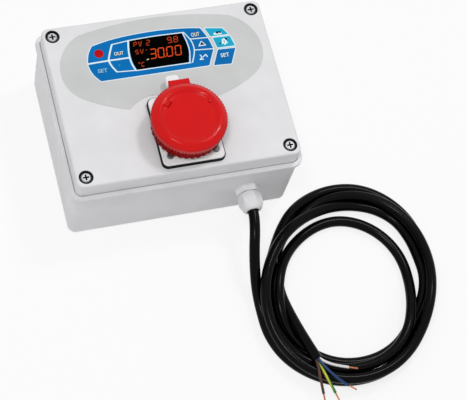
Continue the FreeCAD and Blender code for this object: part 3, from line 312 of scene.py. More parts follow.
@dataclass(frozen=True)
class Metal(Finish):
    """A bare metal with fine marks of turning."""

    roughness: float = 0.3
    grain: Grain = Grain.TURNED
    pitch: float = 0.18
    relief: float = 0.12
    drift: float = 0.14
    metallic: float = 1.0


@dataclass(frozen=True)
class Glow(Finish):
    """A lit finish, such as a display's segments.

    Attributes:
        light: screen colour of the light.
        power: strength of the light, 1 shows the colour as written.
    """

    roughness: float = 0.4
    grain: Grain = Grain.SATIN
    pitch: float = 0.3
    relief: float = 0.02
    drift: float = 0.1
    sheen: float = 0.05
    light: Colour = (255, 90, 20)
    power: float = 1.0

    SPOT_SCALE = 420.0
    SPOT_ENDS = (0.25, 0.7)
    DIMMEST = 0.78

    def _light(self, nodes: Nodes, place: Socket) -> Inputs:
        """Light the surface, a little unevenly as diodes do.

        Args:
            nodes: nodes of the material.
            place: socket with the place on the piece.

        Returns:
            The shader's inputs for the light.
        """
        spots = nodes.add("TexNoise", {"Vector": place, "Scale": self.SPOT_SCALE}, "Fac")
        colours = (shade(self.light, self.DIMMEST), self.light)
        return {
            "Emission Color": nodes.ramp(spots, self.SPOT_ENDS, colours),
            "Emission Strength": self.power,
        }


@dataclass(frozen=True)
class Striped(Finish):
    """A finish with a second colour along one side, as on an earth core.

    Attributes:
        second: screen colour of the stripe.
        turn: angle in degrees that the stripe's line makes with the Y axis.
        origin: a point in mm on the stripe's line.
        blur: half the width in mm of the change from one colour to the other.
    """

    second: Colour = (230, 205, 30)
    turn: float = 0.0
    origin: Flat = (0.0, 0.0)
    blur: float = 0.1

    def _tint(self, nodes: Nodes, place: Socket) -> Socket:
        """Lay the second colour along one side of the line.

        Args:
            nodes: nodes of the material.
            place: socket with the place on the piece.

        Returns:
            The socket with the colour.
        """
        turned = nodes.add("Mapping", {
            "Vector": place,
            "Location": (self.origin[0] * MM, self.origin[1] * MM, 0.0),
            "Rotation": (0.0, 0.0, math.radians(self.turn)),
        }, "Vector", vector_type="TEXTURE")
        edge = nodes.add("MapRange", {
            "Value": nodes.add("SeparateXYZ", {"Vector": turned}, "X"),
            "From Min": -self.blur * MM,
            "From Max": self.blur * MM,
        }, "Result")
        return nodes.mix(edge, super()._tint(nodes, place), self.second)


@dataclass(frozen=True)
class RecessShaded(Metal):
    """A finish for screws with painted shade in their recesses, darkened by height under the heads' tops.

    Attributes:
        axis: distances in mm of the screws' axes from the middle, along X and Y.
        reach: radius in mm round an axis that the recess keeps within.
        top: height in mm of the heads.
        fade: depths in mm under the top between which the painted shade sets in.
        depth: share of the colour that is left under the painted shade in the recess.
    """

    axis: Flat = (0.0, 0.0)
    reach: float = 3.5
    top: float = 0.0
    fade: Flat = (0.1, 0.5)
    depth: float = 0.1

    def _tint(self, nodes: Nodes, place: Socket) -> Socket:
        """Paint shade on what lies under the heads' tops, near the axes.

        Args:
            nodes: nodes of the material.
            place: socket with the place on the piece.

        Returns:
            The socket with the colour.
        """
        quarter = nodes.add("VectorMath", {0: place}, "Vector", operation="ABSOLUTE")
        level = {0: quarter, 1: (1.0, 1.0, 0.0)}
        away = nodes.add("VectorMath", {
            0: nodes.add("VectorMath", level, "Vector", operation="MULTIPLY"),
            1: (self.axis[0] * MM, self.axis[1] * MM, 0.0),
        }, "Value", operation="DISTANCE")
        near = nodes.add("Math", {0: away, 1: self.reach * MM}, "Value", operation="LESS_THAN")
        low = nodes.add("MapRange", {
            "Value": nodes.add("SeparateXYZ", {"Vector": quarter}, "Z"),
            "From Min": (self.top - self.fade[0]) * MM,
            "From Max": (self.top - self.fade[1]) * MM,
        }, "Result")
        # Painted shade: near the axes and below the heads' tops the colour darkens, where shade falls in the
        # recess.
        recess_shade = nodes.add("Math", {0: near, 1: low}, "Value", operation="MULTIPLY")
        return nodes.mix(recess_shade, super()._tint(nodes, place), shade(self.colour, self.depth))


BOX_GREY = Finish("box_grey", (226, 226, 228), 0.45, Grain.SPARK, 0.5, 0.10, 0.018, rounding=0.5, sheen=0.2)
FILM_GREY = Ink("film_grey", (203, 205, 205), 0.36, relief=0.07, drift=0.02, sheen=0.15)
WHITE_MOULDING = Finish("white_moulding", (236, 236, 237), 0.34, pitch=1.2, relief=0.03, drift=0.02,
                        rounding=0.35)
GLAND_GREY = Finish("gland_grey", (226, 226, 228), 0.34, pitch=1.2, relief=0.03, drift=0.02, rounding=0.4)
CAP_RED = Finish("cap_red", (211, 0, 2), 0.13, pitch=3.0, relief=0.004, drift=0.03, rounding=3.0, sheen=0.18)
RING_RED = Finish("ring_red", (138, 3, 6), 0.22, pitch=1.6, relief=0.03, drift=0.06, rounding=0.2,
                  sheen=0.012)
RUBBER = Finish("gasket_rubber", (14, 14, 15), 0.6, pitch=0.5, relief=0.16, drift=0.15, sheen=0.08)
CUP_BLACK = Finish("cup_black", (16, 16, 17), 0.5, pitch=0.5, relief=0.1, drift=0.12, sheen=0.1)
SHEATH = Finish("sheath_black", (3, 3, 4), 0.19, pitch=0.9, relief=0.015, drift=0.2, sheen=0.075)
INSERT_GREY = Finish("insert_grey", (120, 122, 124), 0.5, pitch=0.8, rounding=0.2)
CORE_BROWN = Finish("core_brown", (78, 50, 38), 0.38, relief=0.05, drift=0.12)
CORE_BLUE = Finish("core_blue", (14, 52, 98), 0.36, relief=0.05, drift=0.12)
CORE_WHITE = Finish("core_white", (226, 226, 224), 0.4, relief=0.05)
CORE_EARTH = Striped("core_earth", (206, 196, 60), 0.36, relief=0.05, drift=0.1, second=(52, 128, 58),
                     turn=15.7, origin=(100.1, -297.3))
BOARD = Finish("board_green", (28, 96, 58), 0.45, pitch=0.7, relief=0.08, drift=0.12)
PART_BLACK = Finish("part_black", (38, 38, 40), 0.5, pitch=0.7, relief=0.08, drift=0.12)
PART_GREY = Finish("part_grey", (120, 122, 124), 0.5, pitch=0.7, relief=0.08, drift=0.08)
PART_BLUE = Finish("part_blue", (60, 104, 168), 0.45, pitch=0.7, relief=0.08, drift=0.08)
PART_GREEN = Finish("part_green", (70, 150, 100), 0.45, pitch=0.7, relief=0.08, drift=0.08)
LAMP_RED = Finish("lamp_red", (206, 40, 36), 0.2, Grain.SATIN, 0.5, 0.02, 0.08)
LENS_BLACK = Finish("lens_black", (1, 1, 2), 0.16, Grain.SATIN, 0.8, 0.01, 0.2, sheen=0.01)
BLUE_PRINT = Ink("print_blue", (0, 110, 181), 0.34)
CYAN_PRINT = Ink("print_cyan", (22, 168, 204), 0.34, sheen=0.08)
WHITE_PRINT = Ink("print_white", (226, 243, 250), drift=0.015, sheen=0.1)
PALE_PRINT = Ink("print_pale", (236, 233, 210), drift=0.04, sheen=0.1)
INK_PRINT = Ink("print_ink", (14, 16, 40), 0.4, drift=0.1, sheen=0.05)
DARK_PRINT = Ink("print_dark", (22, 44, 78), 0.4, drift=0.1, sheen=0.05)
FAINT_PRINT = Ink("print_faint", (40, 150, 205), 0.36)
MIST_PRINT = Ink("print_mist", (150, 200, 230), drift=0.03)
DOT_RED = Ink("dot_red", (176, 2, 12), 0.4, pitch=0.3, drift=0.08, sheen=0.08)
SEGMENT = Glow("segment_lit", (40, 8, 2), light=(250, 84, 22), power=0.9)
SMALL_SEGMENT = Glow("segment_small", (40, 8, 2), light=(212, 72, 28), power=0.75)
# Lid screw heads, with painted shade in their cross recesses.
HEAD_STEEL_SHADED = RecessShaded("head_steel_recess_shade", (180, 182, 184), 0.6, relief=0.1, drift=0.1, rounding=0.12,
                      axis=(104.6, 79.6), top=106.6)
STEEL = Metal("screw_steel", (132, 134, 136), rounding=0.12)
# Steel painted darker than STEEL as shade for the flange screws under the cap; it is also rougher.
DULL_STEEL_SHADED = Metal("dull_steel_painted_shade", (104, 105, 106), 0.42, rounding=0.2)
COPPER = Metal("bare_copper", (206, 132, 92), pitch=0.2, relief=0.15, drift=0.15)
BRASS = Metal("contact_brass", (208, 172, 104), pitch=0.25, relief=0.1, drift=0.1)
ZINC = Metal("rail_zinc", (178, 180, 178), 0.36, pitch=0.4, relief=0.1, drift=0.12)


class Bench:
    """Hand tools that add, shape, join and finish meshes with Blender's own operators."""

    LETTER_DETAIL = 4
    LETTER_WEIGHT = 0.018

    @staticmethod
    def clear() -> None:
        """Go back to object mode with nothing selected."""
        if bpy.context.mode != "OBJECT":
            bpy.ops.object.mode_set(mode="OBJECT")
        bpy.ops.object.select_all(action="DESELECT")

    @staticmethod
    def take(obj: bpy.types.Object) -> None:
        """Select one object alone and make it active."""
        Bench.clear()
        obj.select_set(True)
        bpy.context.view_layer.objects.active = obj

    @staticmethod
    def edit(obj: bpy.types.Object, kind: str = "FACE") -> None:
        """Open an object for editing with all of it selected.

        Args:
            obj: the object.
            kind: VERT, EDGE or FACE, the part that operators act on.
        """
        Bench.take(obj)
        bpy.ops.object.mode_set(mode="EDIT")
        bpy.ops.mesh.select_mode(type=kind)
        bpy.ops.mesh.select_all(action="SELECT")

    @staticmethod
    def pick(obj: bpy.types.Object, kind: str, test: Callable[[Vector, Vector], bool]) -> None:
        """Open an object for editing with only some faces or points selected.

        Args:
            obj: the object.
            kind: FACE or VERT.
            test: says from an item's place in mm and its normal whether it is taken.
        """
        Bench.edit(obj, kind)
        bpy.ops.mesh.select_all(action="DESELECT")
        bpy.ops.object.mode_set(mode="OBJECT")
        faces = kind == "FACE"
        for item in obj.data.polygons if faces else obj.data.vertices:
            item.select = test((item.center if faces else item.co) / MM, item.normal)
        bpy.ops.object.mode_set(mode="EDIT")

    @staticmethod
    def close(obj: bpy.types.Object, merge: float = 1e-6) -> None:
        """Merge doubled points and turn all faces outwards.

        Args:
            obj: the object.
            merge: distance in metres within which points are one.
        """
        Bench.edit(obj, "VERT")
        bpy.ops.mesh.remove_doubles(threshold=merge)
        bpy.ops.mesh.normals_make_consistent(inside=False)
        bpy.ops.object.mode_set(mode="OBJECT")

    @staticmethod
    def settle(obj: bpy.types.Object) -> bpy.types.Object:
        """Put an object's place, turn and size into its mesh.

        Args:
            obj: the object.

        Returns:
            The same object.
        """
        Bench.take(obj)
        bpy.ops.object.transform_apply(location=True, rotation=True, scale=True)
        return obj

    @staticmethod
    def join(name: str, parts: Sequence[bpy.types.Object]) -> bpy.types.Object:
        """Join objects into one.

        Args:
            name: name of the joined object.
            parts: the objects.

        Returns:
            The joined object.
        """
        Bench.clear()
        for part in parts:
            part.select_set(True)
        bpy.context.view_layer.objects.active = parts[0]
        if len(parts) > 1:
            bpy.ops.object.join()
        parts[0].name = name
        parts[0].data.name = name
        return parts[0]

    @staticmethod
    def finish(obj: bpy.types.Object, finish: Finish, body: Body, slot: str, angle: float = 30.0) -> None:
        """Smooth a piece, give it its finish and fix it to its body.

        Args:
            obj: the piece.
            finish: its finish.
            body: the body that it rides on.
            slot: the record's material slot; not used.
            angle: edges sharper than this many degrees stay sharp.
        """
        Bench.take(obj)
        if obj.type == "MESH":
            bpy.ops.object.shade_smooth_by_angle(angle=math.radians(angle))
        obj.data.materials.clear()
        obj.data.materials.append(finish.material())
        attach(obj, body.value)
        Bench.clear()

    @staticmethod
    def curve(name: str, lines: Iterable[Sequence[Spot]], flat: bool) -> bpy.types.Object:
        """Add a curve at the origin.

        Args:
            name: name of the piece.
            lines: points in mm of each line.
            flat: straight lines in a plane if true, smooth lines in space if not.

        Returns:
            The curve.
        """
        Bench.clear()
        bpy.ops.object.add(type="CURVE", location=(0.0, 0.0, 0.0))
        made = bpy.context.object
        made.name = name
        made.data.dimensions = "2D" if flat else "3D"
        for line in lines:
            spline = made.data.splines.new("POLY" if flat else "NURBS")
            spline.points.add(len(line) - 1)
            for point, (x, y, z) in zip(spline.points, line):
                point.co = (x * MM, y * MM, z * MM, 1.0)
        return made

    @staticmethod
    def sheet(name: str, outlines: Iterable[Sequence[Flat]], low: float, high: float) -> bpy.types.Object:
        """Cut a flat sheet from closed outlines.

        Args:
            name: name of the piece.
            outlines: closed outlines in mm; one inside another is a hole.
            low: height in mm of the sheet's underside.
            high: height in mm of its top.

        Returns:
            The sheet as a closed mesh.
        """
        made = Bench.curve(name, [[(x, y, 0.0) for x, y in outline] for outline in outlines], True)
        made.data.fill_mode = "BOTH"
        made.data.extrude = (high - low) / 2 * MM
        for spline in made.data.splines:
            spline.use_cyclic_u = True
        bpy.ops.object.convert(target="MESH")
        made = bpy.context.object
        made.location = (0.0, 0.0, (low + high) / 2 * MM)
        Bench.settle(made)
        Bench.close(made)
        return made

    @staticmethod
    def lettering(name: str, words: str, middle: Flat, height: float, width: float, low: float,
                  high: float) -> bpy.types.Object:
        """Print a word flat on the panel.

        Args:
            name: name of the piece.
            words: the letters.
            middle: middle of the word in mm.
            height: height of a capital letter in mm.
            width: length of the word in mm.
            low: height in mm of the print's underside.
            high: height in mm of its top.

        Returns:
            The word as a closed mesh.
        """
        Bench.clear()
        bpy.ops.object.text_add(location=(0.0, 0.0, 0.0))
        made = bpy.context.object
        made.name = name
        made.data.body = words
        made.data.align_x = "CENTER"
        made.data.align_y = "CENTER"
        made.data.size = 1.0
        made.data.resolution_u = Bench.LETTER_DETAIL
        made.data.offset = Bench.LETTER_WEIGHT
        bpy.ops.object.convert(target="MESH")
        made = bpy.context.object
        xs = [point.co.x for point in made.data.vertices]
        ys = [point.co.y for point in made.data.vertices]
        shift = Vector(((min(xs) + max(xs)) / 2, (min(ys) + max(ys)) / 2, 0.0))
        wide, tall = width * MM / (max(xs) - min(xs)), height * MM / (max(ys) - min(ys))
        Bench.edit(made)
        bpy.ops.mesh.extrude_region_move(TRANSFORM_OT_translate={"value": (0.0, 0.0, 1.0)})
        bpy.ops.object.mode_set(mode="OBJECT")
        made.scale = (wide, tall, (high - low) * MM)
        made.location = (middle[0] * MM - shift.x * wide, middle[1] * MM - shift.y * tall, low * MM)
        Bench.settle(made)
        Bench.close(made)
        return made

    @staticmethod
    def lathe(name: str, profile: Sequence[Flat], centre: Flat, steps: int = 96) -> bpy.types.Object:
        """Turn a closed profile round an upright axis.

        Args:
            name: name of the piece.
            profile: points of the closed profile in mm: distance from the axis, and height.
            centre: place of the axis in mm.
            steps: number of steps in the turn.

        Returns:
            The turned piece as a closed mesh.
        """
        Bench.clear()
        bpy.ops.mesh.primitive_circle_add(vertices=len(profile), radius=1.0, fill_type="NOTHING")
        made = bpy.context.object
        made.name = name
        for point, (reach, height) in zip(made.data.vertices, profile):
            point.co = ((centre[0] + reach) * MM, centre[1] * MM, height * MM)
        Bench.edit(made, "EDGE")
        bpy.ops.mesh.spin(steps=steps, angle=2 * math.pi, axis=(0.0, 0.0, 1.0),
                          center=(centre[0] * MM, centre[1] * MM, 0.0))
        bpy.ops.object.mode_set(mode="OBJECT")
        Bench.close(made, 2e-6)
        return made


class Draw:
    """Outlines of printed shapes, in mm on the lid."""

    CORNER_STEPS = 4
    LONGEST_CUT = 0.9
    LEAST_LEAN = 0.4

    @staticmethod
    def bow(points: Sequence[Flat], steps: int = 8) -> list[Flat]:
        """Draw a smooth line through a few points.

        Args:
            points: the points, in order.
            steps: pieces drawn between two of them.

        Returns:
            The points of the line, the last one included.
        """
        if len(points) < 3:
            return list(points)
        ends = [points[0], *points, points[-1]]
        line: list[Flat] = []
        for a, b, c, d in zip(ends, ends[1:], ends[2:], ends[3:]):
            for step in range(steps):
                t = step / steps
                line.append(tuple(
                    0.5 * (2 * q + (r - p) * t + (2 * p - 5 * q + 4 * r - s) * t ** 2
                           + (3 * q - p - 3 * r + s) * t ** 3) for p, q, r, s in zip(a, b, c, d)))
        return [*line, points[-1]]

    @staticmethod
    def loop(*sides: Sequence[Flat], corner: float = 0.0) -> list[Flat]:
        """Close an outline from smooth sides that meet in corners.

        Args:
            sides: the sides, each as a few points; each starts where the last one ended.
            corner: radius in mm of the corners.

        Returns:
            The points of the outline.
        """
        points: list[Flat] = []
        corners: list[int] = []
        for side in sides:
            corners.append(len(points))
            points.extend(Draw.bow(side)[:-1])
        if not corner:
            return points
        rounded: list[Flat] = []
        count = len(points)
        for index, point in enumerate(points):
            if index not in corners:
                rounded.append(point)
                continue
            before, after = Vector(points[index - 1]), Vector(points[(index + 1) % count])
            here = Vector(point)
            back, ahead = before - here, after - here
            cut = min(corner, back.length * Draw.LONGEST_CUT, ahead.length * Draw.LONGEST_CUT)
            first, last = here + back.normalized() * cut, here + ahead.normalized() * cut
            for step in range(Draw.CORNER_STEPS + 1):
                t = step / Draw.CORNER_STEPS
                spot = first * (1 - t) ** 2 + here * 2 * t * (1 - t) + last * t ** 2
                rounded.append((spot.x, spot.y))
        return rounded

    @staticmethod
    def grown(outline: Sequence[Flat], by: float) -> list[Flat]:
        """Move an outline outwards.

        Args:
            outline: the outline.
            by: distance in mm.

        Returns:
            The moved outline.
        """
        area = sum(a[0] * b[1] - b[0] * a[1] for a, b in zip(outline, [*outline[1:], outline[0]]))
        side = 1.0 if area > 0 else -1.0
        moved: list[Flat] = []
        count = len(outline)
        for index, point in enumerate(outline):
            before, after = Vector(outline[index - 1]), Vector(outline[(index + 1) % count])
            here = Vector(point)
            first, second = (here - before).normalized(), (after - here).normalized()
            normal = Vector((first.y + second.y, -first.x - second.x)) * side
            if normal.length < 1e-6:
                normal = Vector((first.y, -first.x)) * side
            normal.normalize()
            lean = max(Draw.LEAST_LEAN, normal.dot(Vector((first.y, -first.x)) * side))
            moved.append((here.x + normal.x * by / lean, here.y + normal.y * by / lean))
        return moved

    @staticmethod
    def stroke(points: Sequence[Flat], width: float) -> list[Flat]:
        """Outline a drawn line.

        Args:
            points: a few points of the line.
            width: its width in mm.

        Returns:
            The outline of the line.
        """
        line = [Vector(point) for point in Draw.bow(points)]
        left: list[Flat] = []
        right: list[Flat] = []
        for index, here in enumerate(line):
            along = line[min(index + 1, len(line) - 1)] - line[max(index - 1, 0)]
            aside = Vector((-along.y, along.x)).normalized() * width / 2
            left.append((here.x + aside.x, here.y + aside.y))
            right.append((here.x - aside.x, here.y - aside.y))
        return left + right[::-1]

    @staticmethod
    def disc(centre: Flat, radius: float, count: int = 40) -> list[Flat]:
        """Outline a disc.

        Args:
            centre: its middle in mm.
            radius: its radius in mm.
            count: number of points.

        Returns:
            The outline.
        """
        turns = [2 * math.pi * n / count for n in range(count)]
        return [(centre[0] + radius * math.cos(t), centre[1] + radius * math.sin(t)) for t in turns]


@dataclass
class SupplyCord:
    """Supply cord: out of the gland, down to the floor, round in loose turns, and up over them to its end.

    Attributes:
        radius: radius of the sheath in mm.
        length: length of the whole cord in metres; not used.
        detail: fineness of its section.
        lead: route from the gland to the coil in mm.
        run: last stretch over the coil in mm.
        centre: middle of the coil in mm.
        reach: half the length and half the width of the outermost turn in mm.
        tilt: turn of the long side in degrees.
        steps: route points for each turn.
        lay: how the turns lie: turns made so far, mm inside the outermost turn, height of the middle in mm.
    """

    radius: float = 5.5
    length: float = 2.42
    detail: int = 7
    lead: tuple[Spot, ...] = (
        (66.0, -115.486, 46.5), (66.0, -124.0, 46.5), (62.6, -140.6, 45.0), (58.8, -157.6, 37.5),
        (56.8, -176.2, 24.5), (56.6, -193.5, 12.0), (57.2, -213.9, 6.0),
    )
    run: tuple[Spot, ...] = (
        (82.0, -196.0, 5.6), (83.4, -212.0, 7.8), (86.0, -232.0, 12.8), (90.4, -257.0, 19.4),
        (95.6, -279.0, 23.8),
    )
    centre: Flat = (153.0, -200.6)
    reach: Flat = (86.5, 107.0)
    tilt: float = -28.6
    steps: int = 24
    lay: tuple[Spot, ...] = (
        (0.06, -5.2, 5.5), (0.10, -4.0, 5.5), (0.14, -1.2, 5.5), (0.19, -0.4, 5.5), (0.23, -0.4, 5.5),
        (0.27, -1.6, 5.5), (0.31, -0.6, 5.5), (0.36, 0.0, 5.5), (0.42, -1.4, 5.5), (0.47, -1.0, 5.5),
        (0.50, -0.3, 5.5), (0.53, 0.0, 5.5), (0.56, -1.6, 5.5), (0.59, -3.2, 5.5), (0.62, -3.6, 5.5),
        (0.66, -4.6, 5.5), (0.70, -6.0, 5.5), (0.74, -6.0, 5.5), (0.78, -5.2, 6.5), (0.81, -3.8, 10.0),
        (0.84, -1.2, 14.0), (0.87, 1.8, 16.6), (0.90, 3.0, 16.8), (0.94, 3.6, 13.5), (0.98, 5.4, 8.0),
        (1.02, 6.2, 5.5), (1.06, 4.8, 5.5), (1.10, 6.4, 7.4), (1.14, 9.2, 11.0), (1.18, 10.2, 12.8),
        (1.22, 9.8, 14.0), (1.26, 8.4, 15.4), (1.30, 7.8, 17.2), (1.34, 10.0, 18.4), (1.38, 14.8, 17.6),
        (1.42, 18.4, 14.4), (1.46, 21.2, 9.2), (1.50, 23.4, 5.8), (1.55, 27.6, 5.5), (1.60, 32.4, 5.5),
        (1.64, 35.2, 5.5), (1.68, 34.6, 5.5), (1.72, 31.4, 5.5), (1.76, 27.6, 5.5), (1.80, 24.2, 5.5),
        (1.84, 20.8, 5.8), (1.88, 18.2, 9.0), (1.91, 16.6, 13.5), (1.94, 15.2, 16.5), (1.97, 14.4, 17.2),
        (2.00, 14.0, 17.0), (2.03, 13.2, 14.8), (2.06, 14.0, 10.4), (2.09, 16.2, 6.2), (2.13, 18.6, 5.5),
        (2.17, 19.8, 5.5), (2.22, 18.2, 5.5), (2.27, 14.6, 5.5), (2.31, 11.4, 5.5), (2.35, 10.8, 5.5),
        (2.39, 10.2, 5.6), (2.42, 8.4, 7.8), (2.45, 6.6, 11.6), (2.48, 6.6, 13.2), (2.51, 8.6, 11.6),
        (2.54, 9.8, 9.6), (2.57, 9.2, 7.2), (2.60, 8.4, 5.6), (2.64, 10.8, 5.5), (2.68, 14.2, 5.6),
        (2.72, 15.2, 7.4), (2.76, 14.8, 12.4), (2.80, 13.0, 18.4), (2.84, 9.4, 24.0), (2.88, 6.4, 27.4),
        (2.92, 2.8, 28.0), (2.96, 0.0, 27.4), (3.00, -2.0, 25.4), (3.04, -2.8, 21.6), (3.08, -3.0, 18.4),
        (3.12, -2.2, 17.2), (3.17, -1.6, 17.0), (3.22, -2.4, 17.0), (3.27, -3.8, 17.2), (3.31, -3.4, 17.6),
        (3.35, -1.6, 19.6), (3.39, 0.2, 22.5), (3.43, 1.2, 25.0), (3.47, 2.0, 24.2), (3.51, 2.2, 20.6),
        (3.55, 2.6, 17.4), (3.59, 2.8, 15.4), (3.63, 4.0, 14.6), (3.68, 5.0, 12.4), (3.73, 4.4, 9.0),
        (3.77, 5.2, 6.6), (3.81, 6.6, 5.5), (3.85, 5.8, 5.5), (3.88, 5.6, 5.5), (3.91, 7.8, 5.5),
        (3.95, 14.2, 5.5),
    )

    def _slopes(self, column: int) -> list[float]:
        """Give the slope of the lay at each of its rows, so that it runs on smoothly.

        Args:
            column: 1 for the distance inwards, 2 for the height.

        Returns:
            One slope for each row.
        """
        steps = [(b[column] - a[column]) / (b[0] - a[0]) for a, b in zip(self.lay, self.lay[1:])]
        between = [0.0 if a * b <= 0 else 2 * a * b / (a + b) for a, b in zip(steps, steps[1:])]
        return [steps[0], *between, steps[-1]]

    def _turn(self, turn: float) -> Spot:
        """Give the place of the cord after a number of turns.

        Args:
            turn: turns made so far, counted from the left of the coil.

        Returns:
            The place in mm.
        """
        row = next((n for n in range(len(self.lay) - 2) if turn <= self.lay[n + 1][0]), len(self.lay) - 2)
        span = self.lay[row + 1][0] - self.lay[row][0]
        t = (turn - self.lay[row][0]) / span
        values = []
        for column in (1, 2):
            slopes = self._slopes(column)
            values.append((2 * t ** 3 - 3 * t ** 2 + 1) * self.lay[row][column]
                          + (t ** 3 - 2 * t ** 2 + t) * slopes[row] * span
                          + (3 * t ** 2 - 2 * t ** 3) * self.lay[row + 1][column]
                          + (t ** 3 - t ** 2) * slopes[row + 1] * span)
        angle = math.pi + 2 * math.pi * turn
        lean = angle - math.radians(self.tilt)
        outer = self.reach[0] * self.reach[1] / math.hypot(self.reach[1] * math.cos(lean),
                                                           self.reach[0] * math.sin(lean))
        distance = outer - values[0]
        return (self.centre[0] + distance * math.cos(angle),
                self.centre[1] + distance * math.sin(angle), values[1])

    def route(self) -> list[Spot]:
        """List all the route's points in mm, from the gland to the cord's end."""
        first, last = self.lay[0][0], self.lay[-1][0]
        count = round((last - first) * self.steps)
        turns = [self._turn(first + (last - first) * n / count) for n in range(count + 1)]
        return [*self.lead, *turns, *self.run]

    @staticmethod
    def line(name: str, route: Sequence[Spot], radius: float, detail: int) -> bpy.types.Object:
        """Lay a round cord along a route.

        Args:
            name: name of the piece.
            route: its points in mm.
            radius: its radius in mm.
            detail: fineness of its section.

        Returns:
            The cord as a curve.
        """
        made = Bench.curve(name, [route], False)
        made.data.bevel_depth = radius * MM
        made.data.bevel_resolution = detail
        made.data.use_fill_caps = True
        made.data.resolution_u = 8
        spline = made.data.splines[0]
        spline.order_u = 3
        spline.use_endpoint_u = True
        return made

    def build(self) -> bpy.types.Object:
        """Returns:
            The cord.
        """
        cord = self.line("cord", self.route(), self.radius, self.detail)
        Bench.finish(cord, SHEATH, Body.BOX, "cord_black")
        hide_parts("supply_cord", "cord_coil", "cord_end")
        return cord


@dataclass(frozen=True)
class Core:
    """One core of the cord.

    Attributes:
        finish: finish of its covering.
        length: its length in metres; not used.
        route: its points in mm.
    """

    finish: Finish
    length: float
    route: tuple[Spot, ...]


@dataclass
class BareCores:
    """The four cores that come out of the cord's end, each with a bared bundle of copper strands.

    Attributes:
        radius: radius of a core in mm.
        detail: fineness of a core's section.
        strand: radius of a copper strand in mm.
        bundle: radius of the circle that the outer strands lie on in mm.
        bare: length of the bared copper in mm.
        tuck: length in mm of a strand inside its core.
        fray: step in mm by which the strands differ in length.
        bends: number of pieces that a strand is drawn out in.
        twist: turn in degrees of each piece.
        taper: share of its width that a strand keeps at its tip.
        cores: the cores by the names of their nodes.
    """

    radius: float = 1.45
    detail: int = 4
    strand: float = 0.31
    bundle: float = 0.54
    bare: float = 10.0
    tuck: float = 1.0
    fray: float = 0.5
    bends: int = 6
    twist: float = 16.0
    taper: float = 0.7
    cores: dict[str, Core] = field(default_factory=lambda: {
        "core_brown": Core(CORE_BROWN, 0.0438, (
            (92.8, -272.0, 22.4), (94.8, -281.5, 24.2), (93.3, -295.0, 25.0), (93.9, -305.0, 19.8),
            (95.1, -312.0, 13.4),
        )),
        "core_green_yellow": Core(CORE_EARTH, 0.0461, (
            (94.6, -272.0, 21.0), (96.9, -283.2, 23.4), (99.7, -298.4, 24.6), (104.2, -309.2, 19.0),
            (106.6, -313.8, 15.2),
        )),
        "core_blue": Core(CORE_BLUE, 0.0489, (
            (94.2, -272.0, 24.2), (96.6, -281.6, 25.6), (103.3, -293.7, 25.6), (112.7, -305.4, 24.0),
            (120.8, -310.6, 20.0),
        )),
        "core_white": Core(CORE_WHITE, 0.0383, (
            (95.6, -272.0, 22.6), (98.4, -279.6, 24.2), (104.1, -284.8, 25.0), (112.7, -289.2, 24.0),
            (125.0, -292.8, 22.4),
        )),
    })

    def _strands(self, name: str, end: Vector, along: Vector) -> bpy.types.Object:
        """Make a twisted bundle of copper strands, one in the middle and six round it.

        Args:
            name: name of the piece.
            end: where the bundle leaves its core, in mm.
            along: direction of the bundle.

        Returns:
            The bundle as one mesh.
        """
        parts = []
        turns = [n * math.pi / 3 for n in range(6)]
        round_it = [(self.bundle * math.cos(turn), self.bundle * math.sin(turn)) for turn in turns]
        for number, (x, y) in enumerate([(0.0, 0.0), *round_it]):
            Bench.clear()
            bpy.ops.mesh.primitive_circle_add(vertices=8, radius=self.strand * MM, fill_type="NGON",
                                              location=(x * MM, y * MM, -self.tuck * MM))
            strand = bpy.context.object
            Bench.settle(strand)
            Bench.edit(strand)
            length = self.bare + self.tuck - self.fray * (number % 3)
            piece = {"value": (0.0, 0.0, length / self.bends * MM)}
            for _ in range(self.bends):
                bpy.ops.mesh.extrude_region_move(TRANSFORM_OT_translate=piece)
                bpy.ops.transform.rotate(value=math.radians(self.twist), orient_axis="Z",
                                         center_override=(0.0, 0.0, 0.0))
            bpy.ops.transform.resize(value=(self.taper, self.taper, self.taper))
            bpy.ops.object.mode_set(mode="OBJECT")
            parts.append(strand)
        bundle = Bench.join(name, parts)
        Bench.close(bundle, 1e-7)
        bundle.rotation_mode = "QUATERNION"
        bundle.rotation_quaternion = along.to_track_quat("Z", "Y")
        bundle.location = end * MM
        return Bench.settle(bundle)

    def build(self) -> list[bpy.types.Object]:
        """Returns:
            The cores.
        """
        made = []
        for name, core in self.cores.items():
            wire = SupplyCord.line(f"{name}_wire", core.route, self.radius, self.detail)
            Bench.finish(wire, core.finish, Body.BOX, name)
            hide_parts(name)
            end = Vector(core.route[-1])
            copper = self._strands(f"{name}_copper", end, (end - Vector(core.route[-2])).normalized())
            Bench.finish(copper, COPPER, Body.BOX, "copper", 50.0)
            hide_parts("conductor_tips")
            made.append(wire)
        return made


